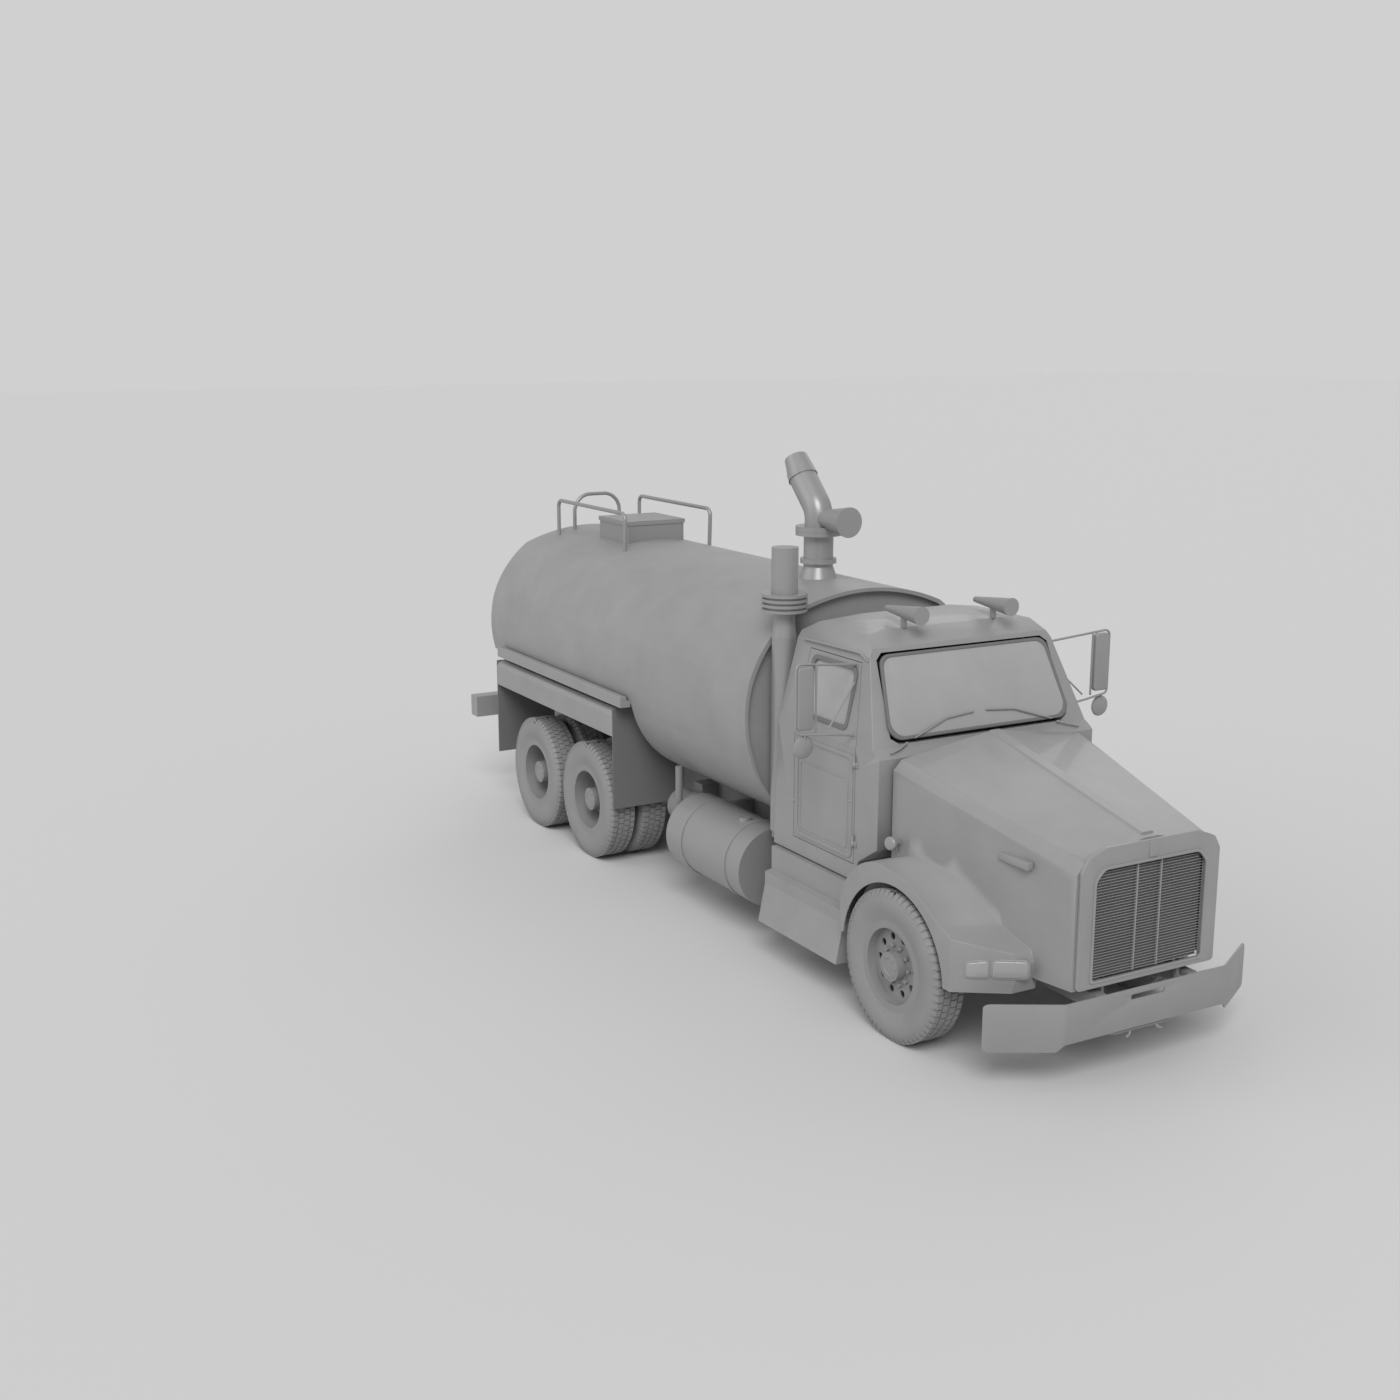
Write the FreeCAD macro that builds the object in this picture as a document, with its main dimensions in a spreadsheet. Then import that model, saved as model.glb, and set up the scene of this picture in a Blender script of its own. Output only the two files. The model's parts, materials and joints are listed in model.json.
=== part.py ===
# Water tanker truck: a conventional 6x4 cab and chassis with an oval water tank and a water monitor.
# Millimetres. +X points forward, +Y to the left, +Z up. Every size below is measured from the front
# axle's centre line on the ground, and each finished piece is then moved so that the origin lies
# on the ground under the middle of the whole vehicle.

import FreeCAD, Part
import math
import os
import re
import Sketcher

Vector = FreeCAD.Vector

SIZES = {
    # How far the bumper stands ahead of the front axle and the lamp beam behind it
    "front_reach": 1300,
    "rear_reach": 7700,
    # Wheels: 11R24.5 tyres, duals behind
    "tyre_radius": 552,
    "tyre_width": 280,
    "rim_seat_radius": 286,
    "rim_flange_radius": 336,
    "rim_width": 210,
    "rim_wall": 12,
    "hub_radius": 105,
    "hand_hole_radius": 27,
    "hand_hole_circle": 205,
    "hand_holes": 10,
    "front_track_half": 1066,
    "dual_outer_half": 1044,
    "dual_spacing": 324,
    "bogie_setback": 5505,
    "axle_spread": 1160,
    "kingpin_half": 880,
    "kingpin_radius": 20,
    "eye_radius": 45,
    # Frame
    "rail_top": 930,
    "rail_depth": 265,
    "rail_flange": 85,
    "rail_web": 10,
    "rail_half": 430,
    "rail_front": 1010,
    "rail_rear": 7500,
    # Power train
    "engine_front": 640,
    "engine_rear": 430,
    "gearbox_rear": 1150,
    "gearbox_radius": 140,
    "gearbox_height": 690,
    "radiator_front": 960,
    # Bumper
    "bumper_top": 640,
    "bumper_bottom": 305,
    "bumper_middle_bottom": 355,
    "bumper_bend_half": 715,
    "bumper_half": 1186,
    "bumper_sweep": 275,
    "bumper_plate": 10,
    # Hood, pivoting forwards about its lower front edge
    "hood_rear": 405,
    "hood_front": 1245,
    "hood_rear_half": 900,
    "hood_front_half": 632,
    "hood_rear_shoulder": 1915,
    "hood_front_shoulder": 1560,
    "hood_rear_crown": 2030,
    "hood_front_crown": 1660,
    "hood_bottom": 690,
    "hood_wall": 8,
    "hood_pivot_forward": 1272,
    "hood_pivot_height": 605,
    "hood_pin_radius": 7,
    "hood_lug_half": 340,
    "hood_lug_width": 24,
    # Front fenders, part of the hood
    "fender_half": 1180,
    "fender_inner_half": 640,
    "fender_top": 1262,
    "fender_rear": 640,
    "fender_rear_bottom": 830,
    "fender_front": 900,
    "fender_front_bottom": 600,
    "fender_arch_radius": 655,
    # Grille
    "grille_half": 490,
    "grille_bottom": 735,
    "grille_top": 1500,
    "grille_depth": 60,
    "slat_count": 30,
    "slat_height": 14,
    "slat_depth": 16,
    # Cab
    "cab_rear": 1840,
    "cab_floor": 940,
    "cab_half": 1000,
    "cab_roof_half": 850,
    "cab_belt": 1950,
    "cab_front": 445,
    "cab_wall": 45,
    "roof_edge": 2650,
    "roof_crown": 2790,
    "screen_foot": 530,
    "screen_head": 820,
    "screen_foot_height": 1975,
    "screen_head_height": 2630,
    "door_front": 735,
    "door_rear": 1560,
    "door_bottom": 1065,
    "door_top": 2545,
    "door_gap": 6,
    "hinge_radius": 11,
    "window_bottom": 2075,
    "window_top": 2500,
    "window_front": 860,
    "window_rear": 1450,
    "glass_thickness": 6,
    # Step and tool box under each door
    "step_front": 650,
    "step_rear": 1810,
    "step_bottom": 320,
    "step_top": 925,
    "step_half": 1160,
    "step_inner_half": 560,
    # Fuel tanks
    "fuel_front": 2120,
    "fuel_rear": 3350,
    "fuel_radius": 330,
    "fuel_half": 830,
    "fuel_height": 620,
    "strap_width": 60,
    "strap_thickness": 8,
    # Water tank
    "tank_front": 2050,
    "tank_rear": 7200,
    "tank_step": 4100,
    "tank_top": 2870,
    "tank_half": 1150,
    "tank_bottom": 970,
    "tank_belly": 1630,
    "tank_stem_half": 470,
    "tank_head_recess": 60,
    "tank_rim": 30,
    # Fenders over the rear wheels
    "box_front": 4300,
    "box_rear": 6950,
    "box_bottom": 1300,
    "box_top": 1550,
    "box_half": 1200,
    "box_inner_half": 560,
    "flap_thickness": 12,
    # Trays along the tank's flanks
    "tray_front": 4120,
    "tray_rear": 6920,
    "tray_bottom": 1600,
    "tray_top": 1690,
    "tray_half": 1205,
    # Monitor on the tank
    "monitor_back": 2780,
    "monitor_riser_radius": 125,
    "monitor_swivel": 3260,
    "monitor_flange_radius": 195,
    "monitor_reach": 450,
    "monitor_mouth_radius": 125,
    "monitor_tip_back": 3340,
    "monitor_tip_height": 3880,
    # Exhaust beside the cab
    "stack_back": 1944,
    "stack_half": 800,
    "stack_radius": 105,
    "stack_collar_radius": 180,
    "stack_collar_bottom": 2770,
    "stack_top": 3330,
    "shield_bottom": 1000,
    "shield_top": 2570,
    # Top gear
    "rail_tube_radius": 19,
    "handrail_height": 300,
    "handrail_half": 470,
    "handrail_front": 5450,
    "handrail_rear": 6950,
    "hatch_middle": 6000,
    "hatch_size": 620,
    "hatch_wall": 20,
    "hatch_height": 150,
    "lid_thickness": 40,
    # Mirrors
    "mirror_back": 816,
    "mirror_outer": 1478,
    "mirror_bottom": 2077,
    "mirror_top": 2605,
    "mirror_width": 180,
    "mirror_tube_radius": 11,
    # A seat's clearance where two pieces of one body meet
    "seat_gap": 0.3,
}

doc = FreeCAD.newDocument("WaterTanker")
sheet = doc.addObject("Spreadsheet::Sheet", "Sizes")
for row, (alias, value) in enumerate(SIZES.items(), start=1):
    sheet.set(f"A{row}", alias)
    sheet.set(f"B{row}", str(value))
    sheet.setAlias(f"B{row}", alias)
doc.recompute()

AXLE_FORWARD = "(rear_reach - front_reach) / 2"
NODES = []


def size(name):
    """The value of one cell of the sheet."""
    return float(sheet.get(name))


def with_cells(text):
    """An expression in which each size's name points to its cell."""
    return re.sub(r"[a-z][a-z_]*", lambda word: "Sizes." + word[0] if word[0] in SIZES else word[0], str(text))


def tie(thing, prop, text):
    thing.setExpression(prop, with_cells(text))


def block(name, xs, ys, zs):
    """A box between two corners, given as pairs of expressions."""
    box = doc.addObject("Part::Box", name)
    for prop, coordinate, (low, high) in zip(("Length", "Width", "Height"), "xyz", (xs, ys, zs)):
        tie(box, prop, f"({high}) - ({low})")
        tie(box, "Placement.Base." + coordinate, low)
    return box


TURNS = {
    "X": FreeCAD.Rotation(Vector(0, 1, 0), 90),
    "Y": FreeCAD.Rotation(Vector(1, 0, 0), -90),
    "Z": FreeCAD.Rotation(),
}


def stand(thing, axis, low, across):
    """Turn a round primitive from +Z to an axis and put its foot at low along it."""
    thing.Placement = FreeCAD.Placement(Vector(), TURNS[axis])
    others = [letter for letter in "xyz" if letter != axis.lower()]
    tie(thing, "Placement.Base." + axis.lower(), low)
    for letter, text in zip(others, across):
        tie(thing, "Placement.Base." + letter, text)
    return thing


def rod(name, axis, radius, low, high, across):
    """A cylinder along an axis; across holds its other two coordinates in order."""
    cylinder = doc.addObject("Part::Cylinder", name)
    tie(cylinder, "Radius", radius)
    tie(cylinder, "Height", f"({high}) - ({low})")
    return stand(cylinder, axis, low, across)


def cone(name, axis, low_radius, high_radius, low, high, across):
    frustum = doc.addObject("Part::Cone", name)
    tie(frustum, "Radius1", low_radius)
    tie(frustum, "Radius2", high_radius)
    tie(frustum, "Height", f"({high}) - ({low})")
    return stand(frustum, axis, low, across)


def ring(name, axis, radius, tube, at, across):
    torus = doc.addObject("Part::Torus", name)
    tie(torus, "Radius1", radius)
    tie(torus, "Radius2", tube)
    return stand(torus, axis, at, across)


def draw(sketch, outline):
    """Draw a closed outline; every corner is held by two expressions from the origin."""
    count = len(outline)
    start = []
    for corner in range(count):
        angle = 2 * math.pi * corner / count
        start.append(Vector(1000 * math.cos(angle), 1000 * math.sin(angle), 0))
    for corner in range(count):
        sketch.addGeometry(Part.LineSegment(start[corner], start[(corner + 1) % count]), False)
    for corner in range(count):
        sketch.addConstraint(Sketcher.Constraint("Coincident", corner, 2, (corner + 1) % count, 1))
    for corner, texts in enumerate(outline):
        for kind, text, value in zip(("DistanceX", "DistanceY"), texts, start[corner]):
            index = sketch.addConstraint(Sketcher.Constraint(kind, -1, 1, corner, 1, value))
            tie(sketch, f"Constraints[{index}]", text)


def sketch_on(body, plane, offset="0"):
    sketch = body.newObject("Sketcher::SketchObject", body.Name + "_sketch")
    support = [item for item in body.Origin.OriginFeatures if item.Role == plane + "_Plane"][0]
    sketch.AttachmentSupport = [(support, "")]
    sketch.MapMode = "FlatFace"
    tie(sketch, "AttachmentOffset.Base.z", offset)
    return sketch


def prism(name, plane, outline, low, high):
    """An outline on XY, XZ or YZ, padded from low to high along the third axis."""
    body = doc.addObject("PartDesign::Body", name)
    sketch = sketch_on(body, plane, f"-({high})" if plane == "XZ" else low)
    draw(sketch, outline)
    pad = body.newObject("PartDesign::Pad", name + "_pad")
    pad.Profile = sketch
    tie(pad, "Length", f"({high}) - ({low})")
    return body


def turned(name, outline):
    """An outline of (y, radius) corners revolved about the Y axis."""
    body = doc.addObject("PartDesign::Body", name)
    sketch = sketch_on(body, "YZ")
    draw(sketch, outline)
    revolution = body.newObject("PartDesign::Revolution", name + "_turn")
    revolution.Profile = sketch
    revolution.ReferenceAxis = (sketch, ["H_Axis"])
    revolution.Angle = 360
    return body


def cut(name, base, *tools):
    result = doc.addObject("Part::Cut", name)
    result.Base = base
    result.Tool = tools[0] if len(tools) == 1 else gather(name + "_tools", *tools)
    return result


def common(name, *shapes):
    result = doc.addObject("Part::MultiCommon", name)
    result.Shapes = list(shapes)
    return result


def fuse(name, *shapes):
    result = doc.addObject("Part::MultiFuse", name)
    result.Shapes = list(shapes)
    result.Refine = True
    return result


def gather(name, *shapes):
    """Solids that don't touch, kept side by side."""
    result = doc.addObject("Part::Compound", name)
    result.Links = list(shapes)
    return result


def mirrored(name, source):
    """The other side's copy, across the XZ plane."""
    copy = doc.addObject("Part::Mirroring", name)
    copy.Source = source
    copy.Normal = Vector(0, 1, 0)
    return copy


def both(name, source):
    return gather(name, source, mirrored(name + "_left", source))


def shaped(name, shape):
    """A piece whose shape is worked out from the sheet's sizes."""
    piece = doc.addObject("Part::Feature", name)
    piece.Shape = shape
    return piece


def node(thing, label, up="0"):
    """Name a finished sub-part and set it in the vehicle's frame."""
    if thing.TypeId in ("Part::Box", "Part::Cylinder", "Part::Cone"):
        thing = gather(thing.Name + "_set", thing)
    thing.Label = label
    tie(thing, "Placement.Base.x", AXLE_FORWARD)
    tie(thing, "Placement.Base.z", up)
    NODES.append(thing)
    return thing


def tube_shape(points, radius, bend):
    """A round tube along straight runs joined by arcs of one bend radius."""
    edges = []
    start = points[0]
    for before, corner, after in zip(points, points[1:], points[2:]):
        inward = (before - corner).normalize()
        outward = (after - corner).normalize()
        half = inward.getAngle(outward) / 2
        back = bend / math.tan(half)
        middle = corner + (inward + outward).normalize() * (bend / math.sin(half) - bend)
        edges.append(Part.LineSegment(start, corner + inward * back).toShape())
        edges.append(Part.Arc(corner + inward * back, middle, corner + outward * back).toShape())
        start = corner + outward * back
    edges.append(Part.LineSegment(start, points[-1]).toShape())
    first = (points[1] - points[0]).normalize()
    section = Part.Wire(Part.makeCircle(radius, points[0], first))
    return Part.Wire(edges).makePipeShell([section], True, False)


def wire_of(points):
    return Part.makePolygon([Vector(*point) for point in points] + [Vector(*points[0])])


# Wheels

def tyre(name, middle):
    """Beads, flanks, shoulders and tread of one tyre, centred at middle on the Y axis."""
    half = "tyre_width / 2"
    bead = "(rim_width / 2 - seat_gap)"
    profile = [
        (bead, "rim_seat_radius + seat_gap"),
        (bead, "rim_flange_radius"),
        (f"({half} - 5)", "rim_flange_radius + 46"),
        (half, "rim_flange_radius + 96"),
        (f"({half} - 7)", "tyre_radius - 62"),
        (f"({half} - 22)", "tyre_radius - 14"),
        (f"({half} - 42)", "tyre_radius"),
    ]
    right = [(f"{middle} + {y}", radius) for y, radius in profile]
    left = [(f"{middle} - {y}", radius) for y, radius in reversed(profile)]
    return turned(name, right + left)


def rim(name, middle, disc, out):
    """A disc wheel: flanges, barrel and a disc with a ring of hand holes; out is +1 or -1."""
    flange = "(rim_width / 2)"
    wall = "rim_wall"
    profile = [
        (f"-({flange} + {wall})", "rim_flange_radius"),
        (f"-{flange}", "rim_flange_radius"),
        (f"-{flange}", "rim_seat_radius"),
        (flange, "rim_seat_radius"),
        (flange, "rim_flange_radius"),
        (f"({flange} + {wall})", "rim_flange_radius"),
        (f"({flange} + {wall})", f"rim_seat_radius - {wall}"),
        (f"({disc} + {wall})", f"rim_seat_radius - {wall} - 4"),
        (f"({disc} + {wall})", "hub_radius - 4"),
        (disc, "hub_radius - 4"),
        (disc, f"rim_seat_radius - {wall} - 4"),
        (f"-({flange} + {wall})", f"rim_seat_radius - {wall}"),
    ]
    outline = [(f"{middle} + {out} * {y}", radius) for y, radius in profile]
    body = turned(name, outline)
    doc.recompute()
    holes = sketch_on(body, "XZ")
    holes.addGeometry(Part.Circle(Vector(100, 0, 0), Vector(0, 0, 1), 20), False)
    holes.addConstraint(Sketcher.Constraint("PointOnObject", 0, 3, -1))
    across = holes.addConstraint(Sketcher.Constraint("DistanceX", -1, 1, 0, 3, 100))
    tie(holes, f"Constraints[{across}]", "hand_hole_circle")
    radius = holes.addConstraint(Sketcher.Constraint("Radius", 0, 20))
    tie(holes, f"Constraints[{radius}]", "hand_hole_radius")
    pocket = body.newObject("PartDesign::Pocket", name + "_hand_hole")
    pocket.Profile = holes
    pocket.Type = "ThroughAll"
    pocket.SideType = "Symmetric"
    pattern = body.newObject("PartDesign::PolarPattern", name + "_hand_holes")
    pattern.Originals = [pocket]
    axis = [item for item in body.Origin.OriginFeatures if item.Role == "Y_Axis"][0]
    pattern.Axis = (axis, [""])
    pattern.Angle = 360
    tie(pattern, "Occurrences", "hand_holes")
    body.Tip = pattern
    return body


SIDES = (("right", -1), ("left", 1))


def wheels():
    for side, out in SIDES:
        middle = f"{out} * front_track_half"
        node(tyre(f"casing_front_{side}", f"({middle})"), f"tyre_front_{side}", "tyre_radius")
        disc = rim(f"disc_front_{side}", f"({middle})", "40", out)
        hub = hub_drum(f"front_{side}", out, "front_track_half - 60", "front_track_half + 125")
        node(fuse(f"front_rim_{side}", disc, hub), f"rim_front_{side}", "tyre_radius")
        for place, back in (("mid", "bogie_setback - axle_spread / 2"), ("rear", "bogie_setback + axle_spread / 2")):
            rear_pair(side, out, place, back)


def hub_drum(name, out, inner, outer):
    """The hub from its inner face to its cap, with the spindle's bore in it."""
    low, high = (inner, outer) if out > 0 else (f"-({outer})", f"-({inner})")
    drum = rod(f"hub_{name}", "Y", "hub_radius", low, high, ("0", "0"))
    bore_low, bore_high = (inner, f"({outer}) - 60") if out > 0 else (f"60 - ({outer})", f"-({inner})")
    bore = rod(f"hub_bore_{name}", "Y", "hub_radius / 2", bore_low, bore_high, ("0", "0"))
    return cut(f"hub_bored_{name}", drum, bore)


def rear_pair(side, out, place, back):
    """Twin tyres and the two rims that share one hub."""
    outer = f"({out} * dual_outer_half)"
    inner = f"({out} * (dual_outer_half - dual_spacing))"
    name = f"{place}_{side}"
    twin = gather(f"twin_{name}", tyre(f"tyre_outer_{name}", outer), tyre(f"tyre_inner_{name}", inner))
    outer_rim = rim(f"rim_outer_{name}", outer, "-100", out)
    inner_rim = rim(f"rim_inner_{name}", inner, "60", out)
    hub = hub_drum(name, out, "dual_outer_half - dual_spacing - 40", "dual_outer_half + 90")
    rims = fuse(f"rims_{name}", outer_rim, inner_rim, hub)
    for piece, label in ((twin, f"tyres_{name}"), (rims, f"rims_{name}")):
        node(piece, label, "tyre_radius")
        tie(piece, "Placement.Base.x", f"{AXLE_FORWARD} - ({back})")


# Frame and running gear

def frame_rails():
    outline = [
        ("-rail_half", "rail_top"),
        ("-rail_half", "rail_top - rail_depth"),
        ("rail_flange - rail_half", "rail_top - rail_depth"),
        ("rail_flange - rail_half", "rail_top - rail_depth + rail_web"),
        ("rail_web - rail_half", "rail_top - rail_depth + rail_web"),
        ("rail_web - rail_half", "rail_top - rail_web"),
        ("rail_flange - rail_half", "rail_top - rail_web"),
        ("rail_flange - rail_half", "rail_top"),
    ]
    node(both("rails", prism("rail", "YZ", outline, "-rail_rear", "rail_front")), "frame_rails")


def crossmembers():
    """Tubes between the rails' webs, and the closing member at each end."""
    tubes = []
    for number, back in enumerate((1700, 2900, 4300, 5505, 6700)):
        half = "rail_half - rail_web"
        tube = rod(f"cross_{number}", "Y", "55", f"-({half})", half, (f"-{back}", "rail_top - rail_depth / 2"))
        tubes.append(tube)
    end = block("cross_end", ("-rail_rear - 12", "-rail_rear"), ("-rail_half", "rail_half"), ("rail_top - rail_depth", "rail_top"))
    node(gather("crossmember_set", end, *tubes), "crossmembers")


def bumper():
    """A plate swept back at both ends, its middle cut up to clear the tow gear, with a tow slot."""
    front, back = "front_reach", "front_reach - bumper_sweep"
    plate = "bumper_plate"
    bend, end = "bumper_bend_half", "bumper_half"
    outline = [
        (front, f"-{bend}"), (front, bend), (back, end), (f"{back} - {plate}", end),
        (f"{front} - {plate}", f"{bend} - {plate} / 2"), (f"{front} - {plate}", f"{plate} / 2 - {bend}"),
        (f"{back} - {plate}", f"-{end}"), (back, f"-{end}"),
    ]
    plate_body = prism("bumper_plan", "XY", outline, "bumper_bottom", "bumper_top")
    raised = block("bumper_raised", (f"{front} - 40", f"{front} + 20"), (f"20 - {bend}", f"{bend} - 20"), ("bumper_bottom - 5", "bumper_middle_bottom"))
    slot = block("bumper_slot", (f"{front} - 40", f"{front} + 20"), ("-150", "150"), ("560", "595"))
    node(cut("bumper_cut", plate_body, raised, slot), "front_bumper")
    brackets = []
    for side, y in (("right", "-(rail_half - 20)"), ("left", "rail_half - 20")):
        arm = block(f"bumper_arm_{side}", ("rail_front - 250", f"{front} - {plate}"), (f"{y} - 40", f"{y} + 40"), ("rail_top - rail_depth - 130", "rail_top - rail_depth - 20"))
        saddle = block(f"bumper_saddle_{side}", ("rail_front - 250", "rail_front"), (f"{y} - 40", f"{y} + 40"), ("rail_top - rail_depth - 60", "rail_top - rail_depth"))
        start, stop = ("-rail_half + 60", "-hood_lug_half + hood_lug_width") if side == "right" else ("hood_lug_half - hood_lug_width", "rail_half - 60")
        pin = rod(f"hood_pin_{side}", "Y", "hood_pin_radius", start, stop, ("hood_pivot_forward", "hood_pivot_height"))
        brackets.append(fuse(f"bumper_bracket_{side}", arm, saddle, pin))
    node(gather("bumper_mounts", *brackets), "bumper_brackets")


def front_axle():
    """A dropped beam between the kingpin eyes, with a leaf pack and shackles on each side."""
    top, low = "tyre_radius - 20", "tyre_radius - 130"
    outline = [
        ("-kingpin_half", "tyre_radius + 45"), ("140 - kingpin_half", "tyre_radius + 45"),
        ("-560", top), ("560", top),
        ("kingpin_half - 140", "tyre_radius + 45"), ("kingpin_half", "tyre_radius + 45"),
        ("kingpin_half", "tyre_radius - 45"), ("kingpin_half - 120", "tyre_radius - 45"),
        ("580", low), ("-580", low), ("120 - kingpin_half", "tyre_radius - 45"), ("-kingpin_half", "tyre_radius - 45"),
    ]
    beam = prism("axle_beam", "YZ", outline, "-eye_radius", "eye_radius")
    ends = []
    for side, y in (("right", "-kingpin_half"), ("left", "kingpin_half")):
        ends.append(rod(f"beam_eye_{side}", "Z", "eye_radius", "tyre_radius - 45", "tyre_radius + 45", ("0", y)))
        ends.append(rod(f"kingpin_{side}", "Z", "kingpin_radius", "tyre_radius - 120", "tyre_radius + 120", ("0", y)))
    node(fuse("axle_beam_set", beam, *ends), "front_axle_beam")
    seat = "(tyre_radius - 20)"
    under = "(rail_top - rail_depth)"
    outline = [
        ("-680", under), ("-680", f"{under} - 70"), ("-560", f"{under} - 70"), ("-120", f"{seat} + 42"), ("-110", seat),
        ("110", seat), ("120", f"{seat} + 42"), ("560", f"{under} - 70"), ("680", f"{under} - 70"), ("680", under),
        ("600", under), ("560", f"{under} - 40"), ("130", f"{seat} + 72"), ("-130", f"{seat} + 72"), ("-560", f"{under} - 40"), ("-600", under),
    ]
    pack = prism("leaf_pack", "XZ", outline, "-rail_half", "80 - rail_half")
    node(both("leaf_packs", pack), "front_springs")


def knuckles():
    """A fork over and under the beam's eye, bored for the kingpin, and the spindle for the hub."""
    for side, out in SIDES:
        inner, web_start, web_end, tip = "kingpin_half - 40", "kingpin_half + eye_radius + 4", "kingpin_half + 100", "front_track_half + 60"
        if out < 0:
            inner, web_start, web_end, tip = (f"-({text})" for text in (inner, web_start, web_end, tip))

        def span(first, second):
            return (first, second) if out > 0 else (second, first)

        web = block(f"knuckle_web_{side}", ("-50", "50"), span(web_start, web_end), ("-100", "100"))
        ears = []
        for level, (bottom, top) in enumerate((("-100", "-45 - seat_gap"), ("45 + seat_gap", "100"))):
            ears.append(block(f"knuckle_ear_{side}_{level}", ("-eye_radius", "eye_radius"), span(inner, web_end), (bottom, top)))
        start, stop = span(web_end, tip)
        spindle = rod(f"spindle_{side}", "Y", "hub_radius / 2 - seat_gap", start, stop, ("0", "0"))
        pin_y = "kingpin_half" if out > 0 else "-kingpin_half"
        bore = rod(f"kingpin_bore_{side}", "Z", "kingpin_radius + seat_gap", "-120", "120", ("0", pin_y))
        node(cut(f"knuckle_bored_{side}", fuse(f"knuckle_fused_{side}", web, spindle, *ears), bore), f"knuckle_{side}", "tyre_radius")


def rear_axles():
    """Two drive axles, each a tube with a round differential bowl."""
    for place, back in (("mid", "(bogie_setback - axle_spread / 2)"), ("rear", "(bogie_setback + axle_spread / 2)")):
        reach = "(dual_outer_half + 20)"
        shaft = rod(f"axle_spindle_{place}", "Y", "hub_radius / 2 - seat_gap", f"-{reach}", reach, (f"-{back}", "tyre_radius"))
        casing = rod(f"axle_tube_{place}", "Y", "75", "-540", "540", (f"-{back}", "tyre_radius"))
        bowl = cone(f"axle_bowl_{place}", "X", "200", "90", f"-{back} - 60", f"-{back} + 260", ("0", "tyre_radius"))
        cover = cone(f"axle_cover_{place}", "X", "120", "200", f"-{back} - 160", f"-{back} - 60", ("0", "tyre_radius"))
        node(fuse(f"axle_{place}", shaft, casing, bowl, cover), f"axle_{place}")


def rear_suspension():
    """A walking beam between the two axles on each side, hung from a saddle under the rail."""
    half = "axle_spread / 2"
    mid = "bogie_setback"
    outline = [
        (f"-{mid} - {half} - 60", "tyre_radius + 75"), (f"-{mid} - {half} + 90", "tyre_radius + 75"),
        (f"-{mid} - 130", "rail_top - rail_depth"), (f"130 - {mid}", "rail_top - rail_depth"),
        (f"{half} - {mid} - 90", "tyre_radius + 75"), (f"{half} - {mid} + 60", "tyre_radius + 75"),
        (f"{half} - {mid} + 60", "tyre_radius + 120"), (f"{half} - {mid} - 80", "tyre_radius + 120"),
        (f"200 - {mid}", "rail_top - 60"), (f"-{mid} - 200", "rail_top - 60"),
        (f"-{mid} - {half} + 80", "tyre_radius + 120"), (f"-{mid} - {half} - 60", "tyre_radius + 120"),
    ]
    beam = prism("walking_beam", "XZ", outline, "-rail_half - 75", "-rail_half - seat_gap")
    node(both("walking_beams", beam), "rear_suspension")


def power_train():
    engine = block("engine_core", ("-engine_rear", "engine_front"), ("-330", "330"), ("620", "1450"))
    gearbox = cone("gearbox", "X", "gearbox_radius", "gearbox_radius + 80", "-gearbox_rear", "-engine_rear", ("0", "gearbox_height"))
    node(fuse("engine_and_gearbox", engine, gearbox), "engine_block")
    node(block("radiator_core", ("radiator_front - 80", "radiator_front"), ("rail_flange - rail_half + seat_gap", "rail_half - rail_flange - seat_gap"), ("rail_top - rail_depth + 10", "1480")), "radiator")
    middle_axle = size("axle_spread") / 2 - size("bogie_setback")
    joint = Vector(-size("gearbox_rear"), 0, size("gearbox_height"))
    pinion = Vector(middle_axle + 260, 0, size("tyre_radius"))
    forward = Vector(1, 0, 0)
    along = pinion - joint + forward * 120
    front_shaft = Part.makeCylinder(50, along.Length, joint - forward * 60, along)
    front_yokes = [Part.makeCylinder(80, 120, joint, -forward), Part.makeCylinder(80, 120, pinion, forward)]
    rear_start = Vector(middle_axle - 160, 0, size("tyre_radius"))
    rear_shaft = Part.makeCylinder(50, size("axle_spread") - 420, rear_start, -forward)
    shafts = [front_shaft.fuse(front_yokes), rear_shaft]
    node(shaped("shaft_shape", Part.makeCompound(shafts)), "drive_shaft")


# Hood with its fenders, grille and lamps

def hood_section(x, half, shoulder, crown, bottom, inset):
    """One cross-section of the hood, set in by a wall's thickness."""
    edge = half - inset
    chamfer = 70
    return wire_of([
        (x, -edge, bottom), (x, -edge, shoulder - chamfer), (x, chamfer - edge, shoulder - inset),
        (x, -60, crown - inset), (x, 60, crown - inset),
        (x, edge - chamfer, shoulder - inset), (x, edge, shoulder - chamfer), (x, edge, bottom),
    ])


def hood_shell(inset, reach):
    """The tapered box of the hood between its rear edge and its nose."""
    rear = hood_section(-size("hood_rear"), size("hood_rear_half"), size("hood_rear_shoulder"), size("hood_rear_crown"), size("hood_bottom") - 10 * reach, inset)
    nose_x = size("hood_front") - inset
    front = hood_section(nose_x, size("hood_front_half"), size("hood_front_shoulder"), size("hood_front_crown"), size("hood_bottom") - 10 * reach, inset)
    return Part.makeLoft([rear, front], True, True)


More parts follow.
